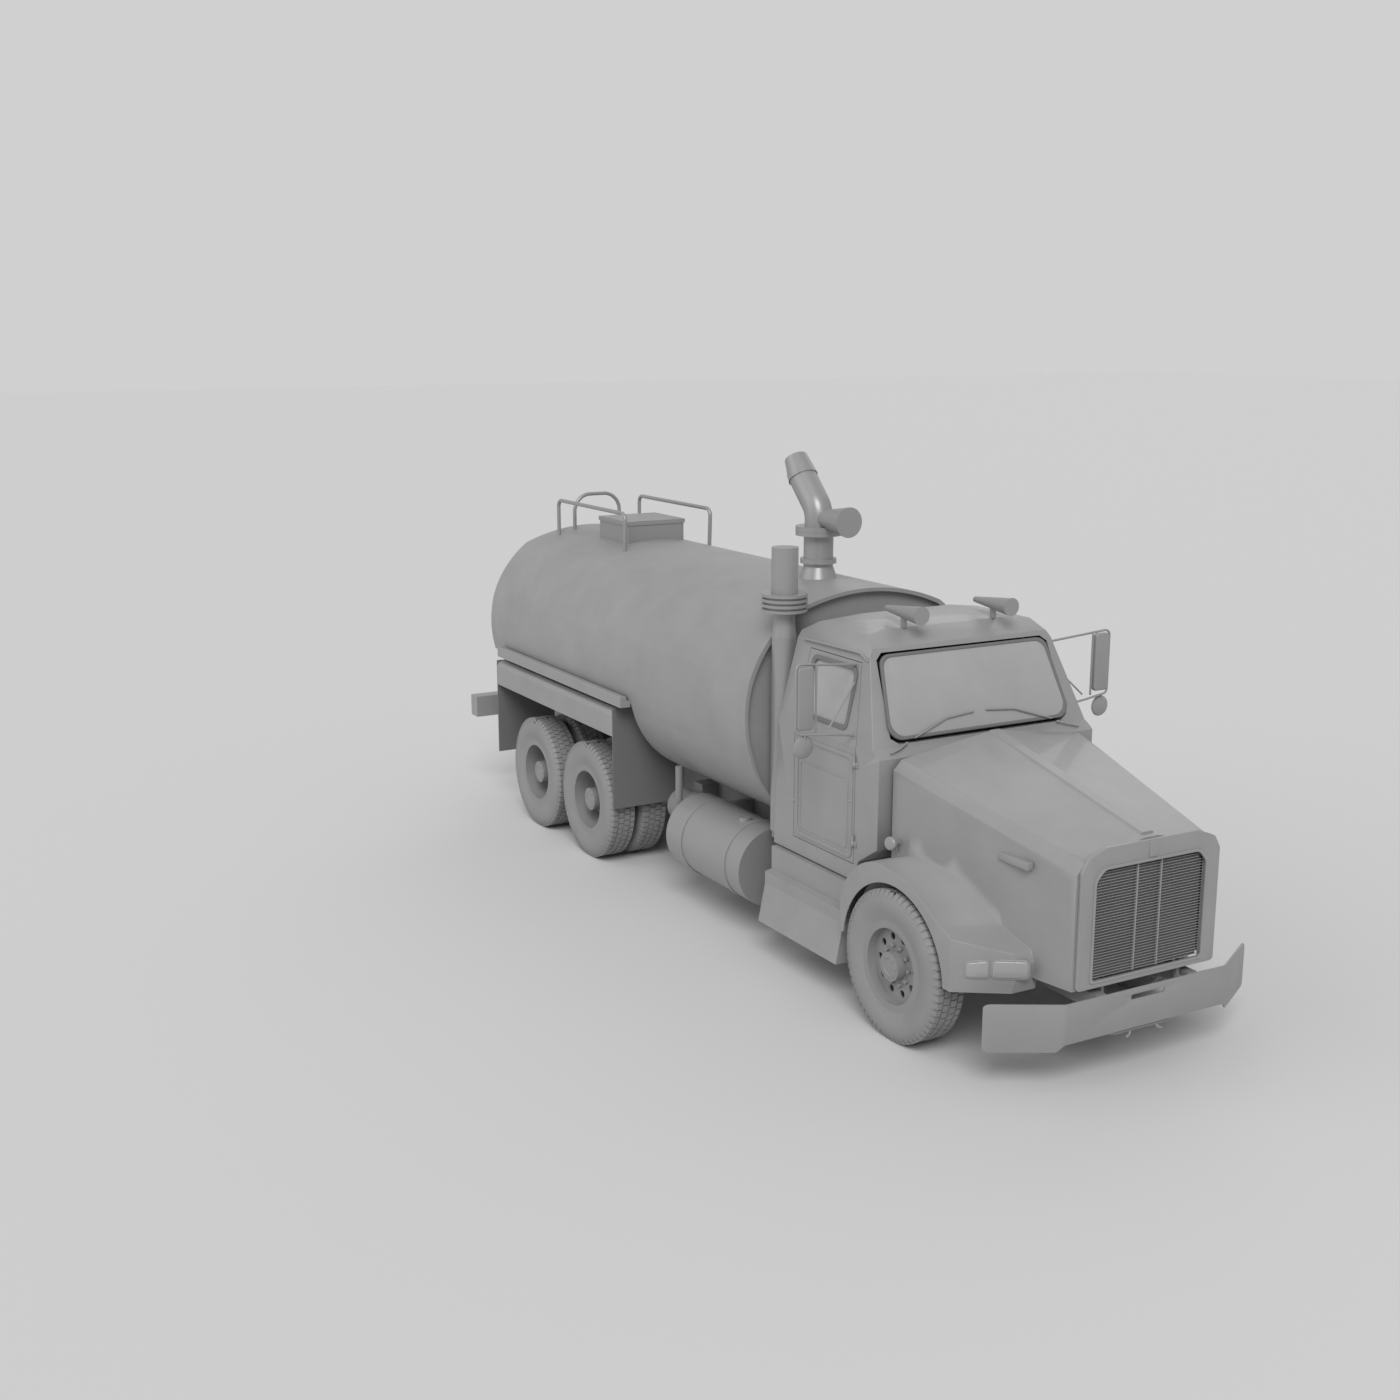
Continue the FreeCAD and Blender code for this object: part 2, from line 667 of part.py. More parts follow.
def fender_solid(side):
    """One front fender: a rounded shell over the wheel that runs down to the lamp pod."""
    top, outer = size("fender_top"), size("fender_half")
    rear, low = -size("fender_rear"), size("fender_rear_bottom")
    front, front_low = size("fender_front"), size("fender_front_bottom")
    crest = Part.Arc(Vector(rear, 0, low), Vector(-430, 0, 1170), Vector(-150, 0, top)).toShape()
    runs = [
        (-150, top), (180, top - 40), (560, 1010), (front, 880), (front + 30, 800), (front, front_low),
        (470, front_low), (470, 620), (-size("fender_rear") + 20, 620), (-size("fender_rear"), 700),
    ]
    points = [Vector(x, 0, z) for x, z in runs] + [Vector(rear, 0, low)]
    edges = [crest] + [Part.LineSegment(a, b).toShape() for a, b in zip(points, points[1:])]
    face = Part.Face(Part.Wire(edges))
    width = outer - size("fender_inner_half")
    solid = face.extrude(Vector(0, width, 0))
    solid.translate(Vector(0, size("fender_inner_half") if side > 0 else -outer, 0))
    return solid


def hood():
    outer = hood_shell(0, 0)
    inner = hood_shell(size("hood_wall"), 1)
    arch = size("fender_arch_radius")
    height = size("tyre_radius")
    wall = size("hood_wall")
    body = outer
    for side in (-1, 1):
        body = body.fuse(fender_solid(side))
    body = body.cut(inner)
    for side in (-1, 1):
        start = size("fender_inner_half") - 60
        length = size("fender_half") - wall * 1.5 - start
        foot = Vector(0, start if side > 0 else -start - length, height)
        body = body.cut(Part.makeCylinder(arch, length, foot, Vector(0, 1, 0)))
        skirt = Part.makeCylinder(arch - 60, length + 100, Vector(0, foot.y - 50, height), Vector(0, 1, 0))
        body = body.cut(skirt)
        low = Part.makeBox(2 * arch, size("fender_half") * 2, 400, Vector(-arch - 200, -size("fender_half") - 10, 100))
        body = body.cut(low) if side < 0 else body
    opening = Part.makeBox(400, 2 * size("grille_half"), size("grille_top") - size("grille_bottom"), Vector(size("hood_front") - 200, -size("grille_half"), size("grille_bottom")))
    beside = size("cab_half") + 2 * size("hinge_radius") + 8
    swing = Part.makeBox(600, 2 * beside, 2000, Vector(-size("cab_front") - 590, -beside, 300))
    body = body.cut(opening).cut(swing)
    form = shaped("hood_form", body)
    lugs = []
    for side, y in (("right", "-hood_lug_half"), ("left", "hood_lug_half")):
        x, z = "hood_pivot_forward", "hood_pivot_height"
        outline = [
            (f"{x} + 12", f"{z} - 12"), (f"{x} + 12", f"{z} + 12"), (f"{x} - 48", f"{z} + 12"), (f"{x} - 48", f"{z} + 92"),
            (f"{x} - 30", f"{z} + 92"), (f"{x} - 30", f"{z} + 120"), (f"{x} - 76", f"{z} + 120"), (f"{x} - 76", f"{z} - 12"),
        ]
        lug = prism(f"hood_lug_{side}", "XZ", outline, f"{y} - hood_lug_width / 2", f"{y} + hood_lug_width / 2")
        bore = rod(f"hood_bore_{side}", "Y", "hood_pin_radius + seat_gap", f"{y} - hood_lug_width", f"{y} + hood_lug_width", (x, z))
        lugs.append(cut(f"hood_lug_bored_{side}", lug, bore))
    node(fuse("hood_set", form, *lugs), "hood")
    return form


def grille():
    """A raised surround and, behind it, rows of thin slats held by upright bars."""
    x = "hood_front"
    outer = [
        ("-grille_half - 125", "hood_bottom"), ("grille_half + 125", "hood_bottom"),
        ("grille_half + 125", "hood_front_shoulder - 50"), ("grille_half + 70", "hood_front_shoulder + 20"),
        ("grille_half - 60", "hood_front_crown - 20"),
        ("0", "hood_front_crown + 10"),
        ("60 - grille_half", "hood_front_crown - 20"),
        ("-grille_half - 70", "hood_front_shoulder + 20"), ("-grille_half - 125", "hood_front_shoulder - 50"),
    ]
    plate = prism("surround_plate", "YZ", outer, f"{x} + seat_gap", f"{x} + 25")
    hole = block("surround_hole", (f"{x} - 10", f"{x} + 60"), ("-grille_half", "grille_half"), ("grille_bottom", "grille_top"))
    node(cut("surround_cut", plate, hole), "grille_surround")
    bars = []
    for number, y in enumerate(("-grille_half + 8", "-grille_half / 3", "grille_half / 3", "grille_half - 8")):
        bars.append(block(f"grille_bar_{number}", (f"{x} - 40", f"{x} - 8"), (f"{y} - 8", f"{y} + 8"), ("grille_bottom", "grille_top")))
    count = int(size("slat_count"))
    for number in range(count):
        low = f"grille_bottom + (grille_top - grille_bottom) * {number + 0.5} / slat_count - slat_height / 2"
        bars.append(block(f"slat_{number}", (f"{x} - 12 - slat_depth", f"{x} - 4"), ("-grille_half", "grille_half"), (low, f"{low} + slat_height")))
    node(fuse("grille_core", *bars), "grille_slats")


def hood_trim():
    """The raised strip along the crown, the plain side plates and the rear latches."""
    rear, front = size("hood_rear"), size("hood_front")
    rise = 14

    def strip(x):
        share = (x + rear) / (front + rear)
        crown = size("hood_rear_crown") * (1 - share) + size("hood_front_crown") * share + size("seat_gap")
        return wire_of([(x, -58, crown), (x, 58, crown), (x, 44, crown + rise), (x, -44, crown + rise)])

    band = Part.makeLoft([strip(10 - rear), strip(front - 40)], True, True)
    node(shaped("hood_strip_shape", band), "hood_strip")


def headlamps(hood_form):
    outline = [
        ("fender_front - 130", "fender_half - 30"), ("fender_front + 32", "fender_inner_half + 130"),
        ("fender_front + 60", "fender_inner_half + 140"), ("fender_front - 60", "fender_half - 12"), ("fender_front - 130", "fender_half - 12"),
    ]
    lens = cut("lamp_lens_seated", prism("lamp_lens", "XY", outline, "690", "830"), mirrored("hood_form_copy", hood_form))
    node(both("lamps", lens), "headlamps")


# Cab

def cab_profile(inset):
    """The cab's side outline, set in by a wall's thickness."""
    i = inset
    return [
        (f"-cab_rear + {i}", f"cab_floor + {i}"), (f"-740 - {i}", f"cab_floor + {i}"), (f"-680 - {i}", f"1100 + {i}"),
        (f"-cab_front - {i}", f"1250 + {i}"), (f"-cab_front - {i}", f"screen_foot_height - 60 - {i}"),
        (f"-screen_foot - {i}", f"screen_foot_height - {i} * 0.4"), (f"-screen_head - {i} * 0.9", f"screen_head_height + 20 - {i} * 0.9"),
        (f"-screen_head - 160", f"roof_crown - 40 - {i}"), ("-1300", f"roof_crown - {i}"), (f"-cab_rear + 330", f"roof_crown - 10 - {i}"),
        (f"-cab_rear + 80 + {i} * 0.8", f"roof_edge - {i} * 0.5"),
    ]


def cab_front_outline(inset):
    """The cab seen from ahead: upright sides, a tumblehome above the belt and a crowned roof."""
    i = inset
    right = [
        (f"-cab_half + {i}", "cab_floor - 20"), (f"-cab_half + {i}", "cab_belt"),
        (f"-cab_roof_half + {i}", f"roof_edge - 60"), (f"-cab_roof_half + 90 + {i} * 0.4", f"roof_crown - 60 - {i} * 0.8"), ("-420", f"roof_crown - 10 - {i}"),
    ]
    mirror = [(f"-({y})", z) for y, z in reversed(right)]
    return right + mirror


def screen_outline(gap):
    """The windscreen seen from ahead, with its corners cut back, shrunk by a gap."""
    right = [
        (f"{gap} - 755", f"screen_foot_height + 15 + {gap}"), (f"{gap} - 825", f"screen_foot_height + 60 + {gap}"),
        (f"{gap} - 800", f"screen_head_height - 60 - {gap}"), (f"{gap} - 740", f"screen_head_height - 15 - {gap}"),
    ]
    return right + [(f"-({y})", z) for y, z in reversed(right)]


def cab():
    side = prism("cab_side", "XZ", cab_profile("0"), "-cab_half - 10", "cab_half + 10")
    ahead = prism("cab_ahead", "YZ", cab_front_outline("0"), "-cab_rear - 10", "0")
    outer = common("cab_outer", side, ahead)
    side_in = prism("cab_side_in", "XZ", cab_profile("cab_wall"), "-cab_half - 10", "cab_half + 10")
    ahead_in = prism("cab_ahead_in", "YZ", cab_front_outline("cab_wall"), "-cab_rear - 10", "0")
    inner = common("cab_inner", side_in, ahead_in)
    doorway = prism("doorway", "XZ", door_outline("0"), "-cab_half - 50", "cab_half + 50")
    screen_cut = prism("screen_cut", "YZ", screen_outline("0"), "-screen_head - 120", "-300")
    back_cut = block("back_window_cut", ("-cab_rear - 20", "-cab_rear + 140"), ("-480", "480"), ("window_bottom + 40", "window_top - 30"))
    shell = cut("cab_shell_cut", outer, inner, doorway, screen_cut, back_cut)
    extras = []
    for number, back in enumerate(("cab_rear - 140", "820")):
        for side, (low, high) in (("right", ("-rail_half", "rail_flange - rail_half")), ("left", ("rail_half - rail_flange", "rail_half"))):
            extras.append(block(f"cab_pad_{side}_{number}", (f"-({back}) - 50", f"50 - ({back})"), (low, high), ("rail_top", "cab_floor + 10")))
    for side, out in SIDES:
        for number, low in enumerate(HINGE_HEIGHTS):
            x, y = "-door_front - 3", f"{out} * (cab_half + hinge_radius)"
            extras.append(rod(f"cab_barrel_{side}_{number}", "Z", "hinge_radius", low, f"{low} + 45", (x, y)))
            extras.append(rod(f"cab_pin_{side}_{number}", "Z", "hinge_radius / 2", f"{low} + 45", f"{low} + 90", (x, y)))
            leaf = ("cab_half", "cab_half + hinge_radius / 2") if out > 0 else ("-cab_half - hinge_radius / 2", "-cab_half")
            extras.append(block(f"cab_leaf_{side}_{number}", (x, "-door_front + 40"), leaf, (low, f"{low} + 45")))
    node(fuse("cab_shell_set", shell, *extras), "cab_shell")
    return outer


HINGE_HEIGHTS = ("1200", "1800")


def door_hinges(side, out):
    """The door's half of each hinge: a bored barrel and its leaf."""
    halves = []
    for number, low in enumerate(HINGE_HEIGHTS):
        x, y = "-door_front - 3", f"{out} * (cab_half + hinge_radius)"
        leaf = ("cab_half", "cab_half + hinge_radius / 2") if out > 0 else ("-cab_half - hinge_radius / 2", "-cab_half")
        bottom, top = f"{low} + 45 + seat_gap", f"{low} + 90"
        barrel = rod(f"door_barrel_{side}_{number}", "Z", "hinge_radius", bottom, top, (x, y))
        plate = block(f"door_leaf_{side}_{number}", ("-door_front - 48", x), leaf, (bottom, top))
        bore = rod(f"door_bore_{side}_{number}", "Z", "hinge_radius / 2 + seat_gap", low, f"{top} + 5", (x, y))
        halves.append(cut(f"door_hinge_{side}_{number}", fuse(f"door_hinge_set_{side}_{number}", barrel, plate), bore))
    return halves


def door_outline(gap):
    g = gap
    return [
        (f"-door_rear + {g}", f"door_bottom + {g}"), (f"-door_front - {g}", f"door_bottom + {g}"),
        (f"-door_front - {g}", "cab_belt + 20"), (f"-door_front - 140 - {g}", f"door_top - {g}"),
        (f"-door_rear + {g}", f"door_top - {g}"),
    ]


def doors():
    for side, out in SIDES:
        slab = prism(f"door_slab_{side}", "XZ", door_outline("door_gap"), "-cab_half" if out < 0 else "0", "0" if out < 0 else "cab_half")
        ahead = prism(f"door_ahead_{side}", "YZ", cab_front_outline("0"), "-cab_rear - 10", "0")
        ahead_in = prism(f"door_ahead_in_{side}", "YZ", cab_front_outline("cab_wall"), "-cab_rear - 20", "10")
        window = block(f"door_window_{side}", ("-window_rear", "-window_front - 60"), ("-cab_half - 10", "0") if out < 0 else ("0", "cab_half + 10"), ("window_bottom", "window_top - 20"))
        skin = common(f"door_skin_{side}", slab, ahead)
        panel = cut(f"door_cut_{side}", skin, ahead_in, window)
        node(fuse(f"door_set_{side}", panel, *door_hinges(side, out)), f"door_{side}")


def glazing():
    """The windscreen between its pillars, the rear window and the door glasses."""
    slope_x = size("screen_head") - size("screen_foot")
    slope_z = size("screen_head_height") + 20 - size("screen_foot_height")
    length = math.hypot(slope_x, slope_z)
    lean = FreeCAD.Rotation(Vector(0, 1, 0), -math.degrees(math.atan2(slope_x, slope_z)))
    pane = Part.makeBox(size("glass_thickness"), 1800, length, Vector(-10 - size("glass_thickness"), -900, 0))
    pane.Placement = FreeCAD.Placement(Vector(-size("screen_foot"), 0, size("screen_foot_height")), lean)
    slab = shaped("screen_slab", Part.makeCompound([pane]))
    reach = prism("screen_reach", "YZ", screen_outline("seat_gap * 2"), "-screen_head - 120", "-300")
    node(common("screen_pane", slab, reach), "windscreen")
    x = "-cab_rear + 81"
    back = block("back_pane", (x, f"{x} + glass_thickness"), ("seat_gap - 480", "480 - seat_gap"), ("window_bottom + 40 + seat_gap", "window_top - 30 - seat_gap"))
    node(gather("back_pane_set", back), "rear_window")


# Water tank

def tank_face(x, inset):
    """The oval section: a shallow crown, round shoulders and sides that taper to a flat floor."""
    half, top, floor = size("tank_half") - inset, size("tank_top") - inset, size("tank_bottom") + inset
    middle = 1930
    crown = (half * 0.635, top - 150)
    shoulder = (half * 0.862, top - 420)
    flank = (half * 0.965, top - 660)
    waist = (half, middle)
    hip = (half * 0.948, middle - 360)
    knee = (half * 0.809, middle - 675)
    foot = (half * 0.435, floor)

    def at(pair, sign=1):
        return Vector(x, sign * pair[0], pair[1])

    edges = [Part.Arc(at(crown), Vector(x, 0, top), at(crown, -1)).toShape()]
    for sign in (-1, 1):
        edges.append(Part.Arc(at(crown, sign), at(shoulder, sign), at(flank, sign)).toShape())
        edges.append(Part.Arc(at(flank, sign), at(waist, sign), at(hip, sign)).toShape())
        edges.append(Part.Arc(at(hip, sign), at(knee, sign), at(foot, sign)).toShape())
    edges.append(Part.LineSegment(at(foot), at(foot, -1)).toShape())
    return Part.Face(Part.Wire(Part.__sortEdges__(edges)))


def tank_blank(name, gap):
    """The tank's full oval, grown by a gap, to seat other pieces on its skin."""
    length = size("tank_rear") - size("tank_front")
    return shaped(name, tank_face(-size("tank_rear"), -gap).extrude(Vector(length, 0, 0)))


def water_tank():
    """The tank's shell with its recessed heads, and the belly stepped up over the rear wheels."""
    front, rear, recess = -size("tank_front"), -size("tank_rear"), size("tank_head_recess")
    barrel = tank_face(rear, 0).extrude(Vector(front - rear, 0, 0))
    head = tank_face(front - recess, size("tank_rim")).extrude(Vector(recess + 10, 0, 0))
    barrel = barrel.cut(head)
    depth = size("tank_belly") - size("tank_bottom") + 200
    step = -size("tank_step")
    for side in (-1, 1):
        width = size("tank_half")
        corner = Vector(rear - 10, size("tank_stem_half") if side > 0 else -size("tank_stem_half") - width, size("tank_belly") - depth)
        barrel = barrel.cut(Part.makeBox(step - rear + 10, width, depth, corner))
    node(shaped("tank_shape", barrel), "water_tank")
    sill = block("tank_sill", ("-tank_rear + 20", "-tank_front - 20"), ("-rail_half", "rail_flange - rail_half"), ("rail_top", "tank_bottom"))
    node(both("tank_sills_pair", sill), "tank_sills")


def tank_trays():
    """Ribbed trays along the flanks, over the fender boxes."""
    outline = [
        ("-tray_half", "tray_bottom"), ("-tray_half", "tray_top"), ("-tray_half + 14", "tray_top + 8"),
        ("-tray_half + 60", "tray_top + 8"), ("-tray_half + 60", "tray_bottom + 60"), ("-tank_half + 100", "tray_bottom + 60"),
        ("-tank_half + 100", "tray_bottom"),
    ]
    tray = cut("tray_seated", prism("tray", "YZ", outline, "-tray_rear", "-tray_front"), tank_blank("tray_seat", size("seat_gap")))
    node(both("trays", tray), "tank_trays")


def rear_fenders():
    """A boxed fender over each pair of rear wheels, with an apron ahead and a flap behind."""
    outline = [
        ("-box_half", "box_bottom"), ("-box_half", "box_top - 60"), ("-box_half + 20", "box_top - 20"), ("-box_half + 60", "box_top"),
        ("-box_inner_half", "box_top"), ("-box_inner_half", "box_top - 25"),
        ("-box_half + 25", "box_top - 25"), ("-box_half + 25", "box_bottom"),
    ]
    shell = prism("fender_box", "YZ", outline, "-box_rear", "-box_front")
    legs = []
    for number, back in enumerate(("box_front + 40", "(box_front + box_rear) / 2", "box_rear - 40")):
        legs.append(block(f"fender_arm_{number}", (f"-({back}) - 30", f"30 - ({back})"), ("-box_inner_half - 20", "-tank_stem_half"), ("box_top - 60", "box_top - 25")))
    node(both("fender_boxes", fuse("fender_box_set", shell, *legs)), "rear_fenders")
    front_flap = block("apron", ("-box_front", "-box_front + flap_thickness"), ("-box_half", "-box_inner_half"), ("620", "box_top"))
    rear_flap = block("flap", ("-box_rear - flap_thickness", "-box_rear"), ("-box_half", "-box_inner_half"), ("580", "box_top"))
    node(both("flap_set", gather("flap_pair", front_flap, rear_flap)), "mudflaps")


def top_gear():
    """Guard rails, a hoop, a walkway plate, the filling hatch and lifting rings on the crown."""
    tube = size("rail_tube_radius")
    top = size("tank_top")
    half = size("handrail_half")
    front, rear = -size("handrail_front"), -size("handrail_rear")
    height = size("handrail_height")

    def crown_height(y):
        return top - 150 * (y / (size("tank_half") * 0.635)) ** 2 - 30

    shapes = []
    for side in (-1, 1):
        y = side * half
        foot = crown_height(half)
        rail = tube_shape([
            Vector(front, y, foot), Vector(front + 20, y, top + height), Vector(rear, y, top + height), Vector(rear, y, foot),
        ], tube, 70)
        shapes += [rail]
    hoop = tube_shape([
        Vector(rear - 60, -260, crown_height(260)), Vector(rear - 60, -260, top + 340), Vector(rear - 60, 260, top + 340), Vector(rear - 60, 260, crown_height(260)),
    ], tube, 180)
    rails = shaped("guard_rails", Part.makeCompound(shapes + [hoop]))
    node(cut("guard_rails_seated", rails, tank_blank("rail_seat", 0)), "handrails")
    middle, across, wall = "hatch_middle", "hatch_size / 2", "hatch_wall"
    rim_outer = block("hatch_outer", (f"-{middle} - {across}", f"{across} - {middle}"), (f"-{across}", across), ("tank_top - 40", "tank_top + hatch_height"))
    rim_inner = block("hatch_inner", (f"-{middle} - {across} + {wall}", f"{across} - {middle} - {wall}"), (f"{wall} - {across}", f"{across} - {wall}"), ("tank_top - 60", "tank_top + hatch_height + 10"))
    axis = (f"-{middle} - {across} - 12", "tank_top + hatch_height - 10")
    eyes = [rod("hatch_pin", "Y", "4.5", "-120", "120", axis)]
    for name, low, high in (("right", "-120", "-60 - seat_gap"), ("left", "60 + seat_gap", "120")):
        eyes.append(rod(f"hatch_eye_{name}", "Y", "9", low, high, axis))
        reach = (f"-{middle} - {across} - 12", f"2 - {middle} - {across}")
        eyes.append(block(f"hatch_leaf_{name}", reach, (low, high), ("tank_top + hatch_height - 19", "tank_top + hatch_height - 2")))
    collar = cut("hatch_collar_cut", rim_outer, rim_inner, tank_blank("hatch_seat", 0))
    node(fuse("hatch_collar_set", collar, *eyes), "hatch_collar")
    lid = block("hatch_lid_plate", (f"-{middle} - {across} - 10", f"{across} - {middle} + 10"), (f"-{across} - 10", f"{across} + 10"), ("tank_top + hatch_height + seat_gap", "tank_top + hatch_height + lid_thickness"))
    barrel = rod("lid_barrel", "Y", "9", "-60", "60", axis)
    arm = block("lid_arm", (f"-{middle} - {across} - 21", f"-{middle} - {across} - 3"), ("-60", "60"), (axis[1], "tank_top + hatch_height + seat_gap + 5"))
    bore = rod("lid_bore", "Y", "4.5 + seat_gap", "-70", "70", axis)
    node(cut("lid_set", fuse("lid_whole", lid, barrel, arm), bore), "hatch_lid")


# Monitor

def monitor():
    """A fixed riser on the crown and, above its swivel, the turning head with two outlets."""
    back = "-monitor_back"
    base = cone("monitor_foot", "Z", "monitor_riser_radius + 45", "monitor_riser_radius", "tank_top - 30", "tank_top + 90", (back, "0"))
    riser = rod("monitor_riser", "Z", "monitor_riser_radius", "tank_top + 90", "monitor_swivel", (back, "0"))
    bead = rod("monitor_bead", "Z", "monitor_riser_radius + 28", "tank_top + 120", "tank_top + 160", (back, "0"))
    flange = rod("monitor_flange", "Z", "monitor_flange_radius", "monitor_swivel - 35", "monitor_swivel", (back, "0"))
    base_set = fuse("monitor_base_set", base, riser, bead, flange)
    node(cut("monitor_base_cut", base_set, tank_blank("monitor_seat", 0)), "monitor_base")

    x, swivel = -size("monitor_back"), size("monitor_swivel")
    radius = size("monitor_riser_radius") - 6
    mouth = size("monitor_mouth_radius")
    turn = Part.makeCylinder(size("monitor_flange_radius"), 40, Vector(x, 0, swivel + 1), Vector(0, 0, 1))
    neck = tube_shape([Vector(x, 0, swivel + 20), Vector(x, 0, swivel + 170), Vector(x - 300, 0, swivel + 470)], radius, 200)
    horn = Part.makeCone(radius * 0.55, mouth, size("monitor_reach") - 40, Vector(x + 40, 0, swivel + 110), Vector(1, 0, 0))
    start = Vector(x - 250, 0, swivel + 420)
    scoop = Part.makeCone(radius + 10, radius - 20, 200, start, Vector(-0.6, 0, 0.8))
    node(shaped("monitor_head_shape", turn.fuse([neck, horn, scoop])), "monitor_head")


# Exhaust

def exhaust():
    """The muffler and its shield beside the cab, a ribbed collar and a turned-out tip."""
    x, y = "-stack_back", "-stack_half - 60"
    canister = rod("muffler", "Z", "stack_radius - 8", "shield_bottom", "shield_top", (x, y))
    neck = cone("muffler_neck", "Z", "stack_radius - 8", "stack_radius - 20", "shield_top", "shield_top + 100", (x, y))
    pipe = rod("stack_pipe", "Z", "stack_radius - 20", "shield_top + 100", "stack_top - 250", (x, y))
    rings = []
    for number in range(4):
        low = f"stack_collar_bottom + {number * 40}"
        rings.append(rod(f"stack_ring_{number}", "Z", "stack_collar_radius", low, f"{low} + 22", (x, y)))
    core = rod("stack_collar", "Z", "stack_collar_radius - 25", "stack_collar_bottom", "stack_collar_bottom + 142", (x, y))
    tip = rod("stack_tip", "Z", "stack_radius", "stack_collar_bottom + 142", "stack_top - 60", (x, y))
    bracket = block("muffler_bracket", (f"{x} - 60", f"{x} + 60"), ("-stack_half - 120", "rail_flange - rail_half"), ("rail_top", "shield_bottom"))
    node(fuse("exhaust_set", bracket, canister, neck, pipe, core, tip, *rings), "exhaust_stack")


# Boxes and tanks beside the frame

def side_boxes():
    outline = [
        ("-step_half", "step_bottom"), ("-step_half + 60", "step_top - 300"), ("-step_half + 60", "step_top - 200"),
        ("-step_half + 120", "step_top - 190"), ("-step_half + 120", "step_top"), ("-step_inner_half", "step_top"), ("-step_inner_half", "step_bottom + 60"),
        ("-step_half + 200", "step_bottom"),
    ]
    box = prism("step_box", "YZ", outline, "-step_rear", "-step_front - 60")
    hanger = block("step_hanger", ("-step_rear + 150", "-step_front - 250"), ("-step_inner_half", "-rail_half"), ("rail_top - 190", "rail_top - 50"))
    node(both("step_box_pair", fuse("step_box_set", box, hanger)), "step_boxes")


def fuel_tanks():
    drum = rod("fuel_drum", "X", "fuel_radius", "-fuel_rear", "-fuel_front", ("-fuel_half", "fuel_height"))
    cap = rod("fuel_cap", "Z", "50", "fuel_height + fuel_radius - 40", "fuel_height + fuel_radius + 20", ("-fuel_front - 350", "-fuel_half - 60"))
    node(both("fuel_tank_pair", fuse("fuel_tank_body", drum, cap)), "fuel_tanks")
    straps = []
    for number, back in enumerate(("fuel_front + 250", "fuel_rear - 250")):
        hoop = rod(f"strap_hoop_{number}", "X", "fuel_radius + strap_thickness", f"-({back}) - strap_width / 2", f"strap_width / 2 - ({back})", ("-fuel_half", "fuel_height"))
        core = rod(f"strap_core_{number}", "X", "fuel_radius + seat_gap", f"-({back}) - strap_width", f"strap_width - ({back})", ("-fuel_half", "fuel_height"))
        bracket = block(f"strap_bracket_{number}", (f"-({back}) - strap_width / 2", f"strap_width / 2 - ({back})"), ("-fuel_half + 150", "-rail_half"), ("fuel_height", "rail_top - 20"))
        straps.append(cut(f"strap_{number}", fuse(f"strap_set_{number}", hoop, bracket), core))
    node(both("fuel_strap_pair", gather("fuel_straps_right", *straps)), "fuel_straps")


def pump():
    """The water pump behind the right fuel tank, its valve and its ribbed suction hose."""
    casing = rod("pump_casing", "X", "150", "-3900", "-3620", ("-700", "700"))
    flange = rod("pump_flange", "X", "175", "-3640", "-3600", ("-700", "700"))
    seat = block("pump_seat", ("-3850", "-3700"), ("-600", "-rail_half"), ("rail_top - rail_depth + 20", "rail_top - 20"))
    riser = tube_shape([Vector(-3640, -790, 740), Vector(-3480, -790, 740), Vector(-3480, -960, 860), Vector(-3480, -960, 1180)], 32, 60)
    stem = shaped("pump_riser", riser)
    node(fuse("pump_set", casing, flange, stem, seat), "water_pump")


def rear_beam():
    """The closing cross-beam with its lamp ends."""
    beam = block("lamp_beam", ("-rear_reach", "-rear_reach + 160"), ("-box_half", "box_half"), ("830", "1050"))
    neck = block("lamp_beam_neck", ("-rear_reach + 160", "-rail_rear - 12"), ("-300", "300"), ("830", "rail_top"))
    node(fuse("lamp_beam_set", beam, neck), "rear_beam")


def mirrors(cab_block):
    """Two stacked glasses in a tube frame on each door."""
    for side, out in SIDES:
        x, outer = -size("mirror_back"), size("mirror_outer")
        low, high = size("mirror_bottom"), size("mirror_top")
        tube = size("mirror_tube_radius")
        frame = tube_shape([
            Vector(x - 110, out * 850, high - 95), Vector(x, out * outer, high), Vector(x, out * outer, low), Vector(x - 60, out * 940, low + 10),
        ], tube, 40)
        glass = Part.makeBox(40, size("mirror_width"), high - low - 80, Vector(x - 20, out * outer - (size("mirror_width") if out > 0 else 0) , low + 40))
        node(cut(f"mirror_seated_{side}", shaped(f"mirror_shape_{side}", frame.fuse(glass)), cab_block), f"mirror_{side}")


def roof_gear(cab_block):
    """Two air horns and a row of clearance lamps on the roof."""
    horns = []
    for number, y in enumerate(("-420", "420")):
        trumpet = cone(f"horn_{number}", "X", "22", "70", "-1200", "-760", (y, "roof_crown + 75"))
        foot = block(f"horn_foot_{number}", ("-1000", "-960"), (f"{y} - 15", f"{y} + 15"), ("roof_crown - 40", "roof_crown + 70"))
        horns.append(fuse(f"horn_set_{number}", trumpet, foot))
    node(cut("horn_seats", gather("horn_pair", *horns), cab_block), "air_horns")


def build():
    wheels()
    frame_rails()
    crossmembers()
    bumper()
    front_axle()
    knuckles()
    rear_axles()
    rear_suspension()
    power_train()
    hood_form = hood()
    grille()
    hood_trim()
    headlamps(hood_form)
    cab_block = cab()
    doors()
    glazing()
    roof_gear(cab_block)
    mirrors(cab_block)
    water_tank()
    tank_trays()
    rear_fenders()
    top_gear()
    monitor()
    exhaust()
    side_boxes()
    fuel_tanks()
    pump()
    rear_beam()
    doc.recompute()


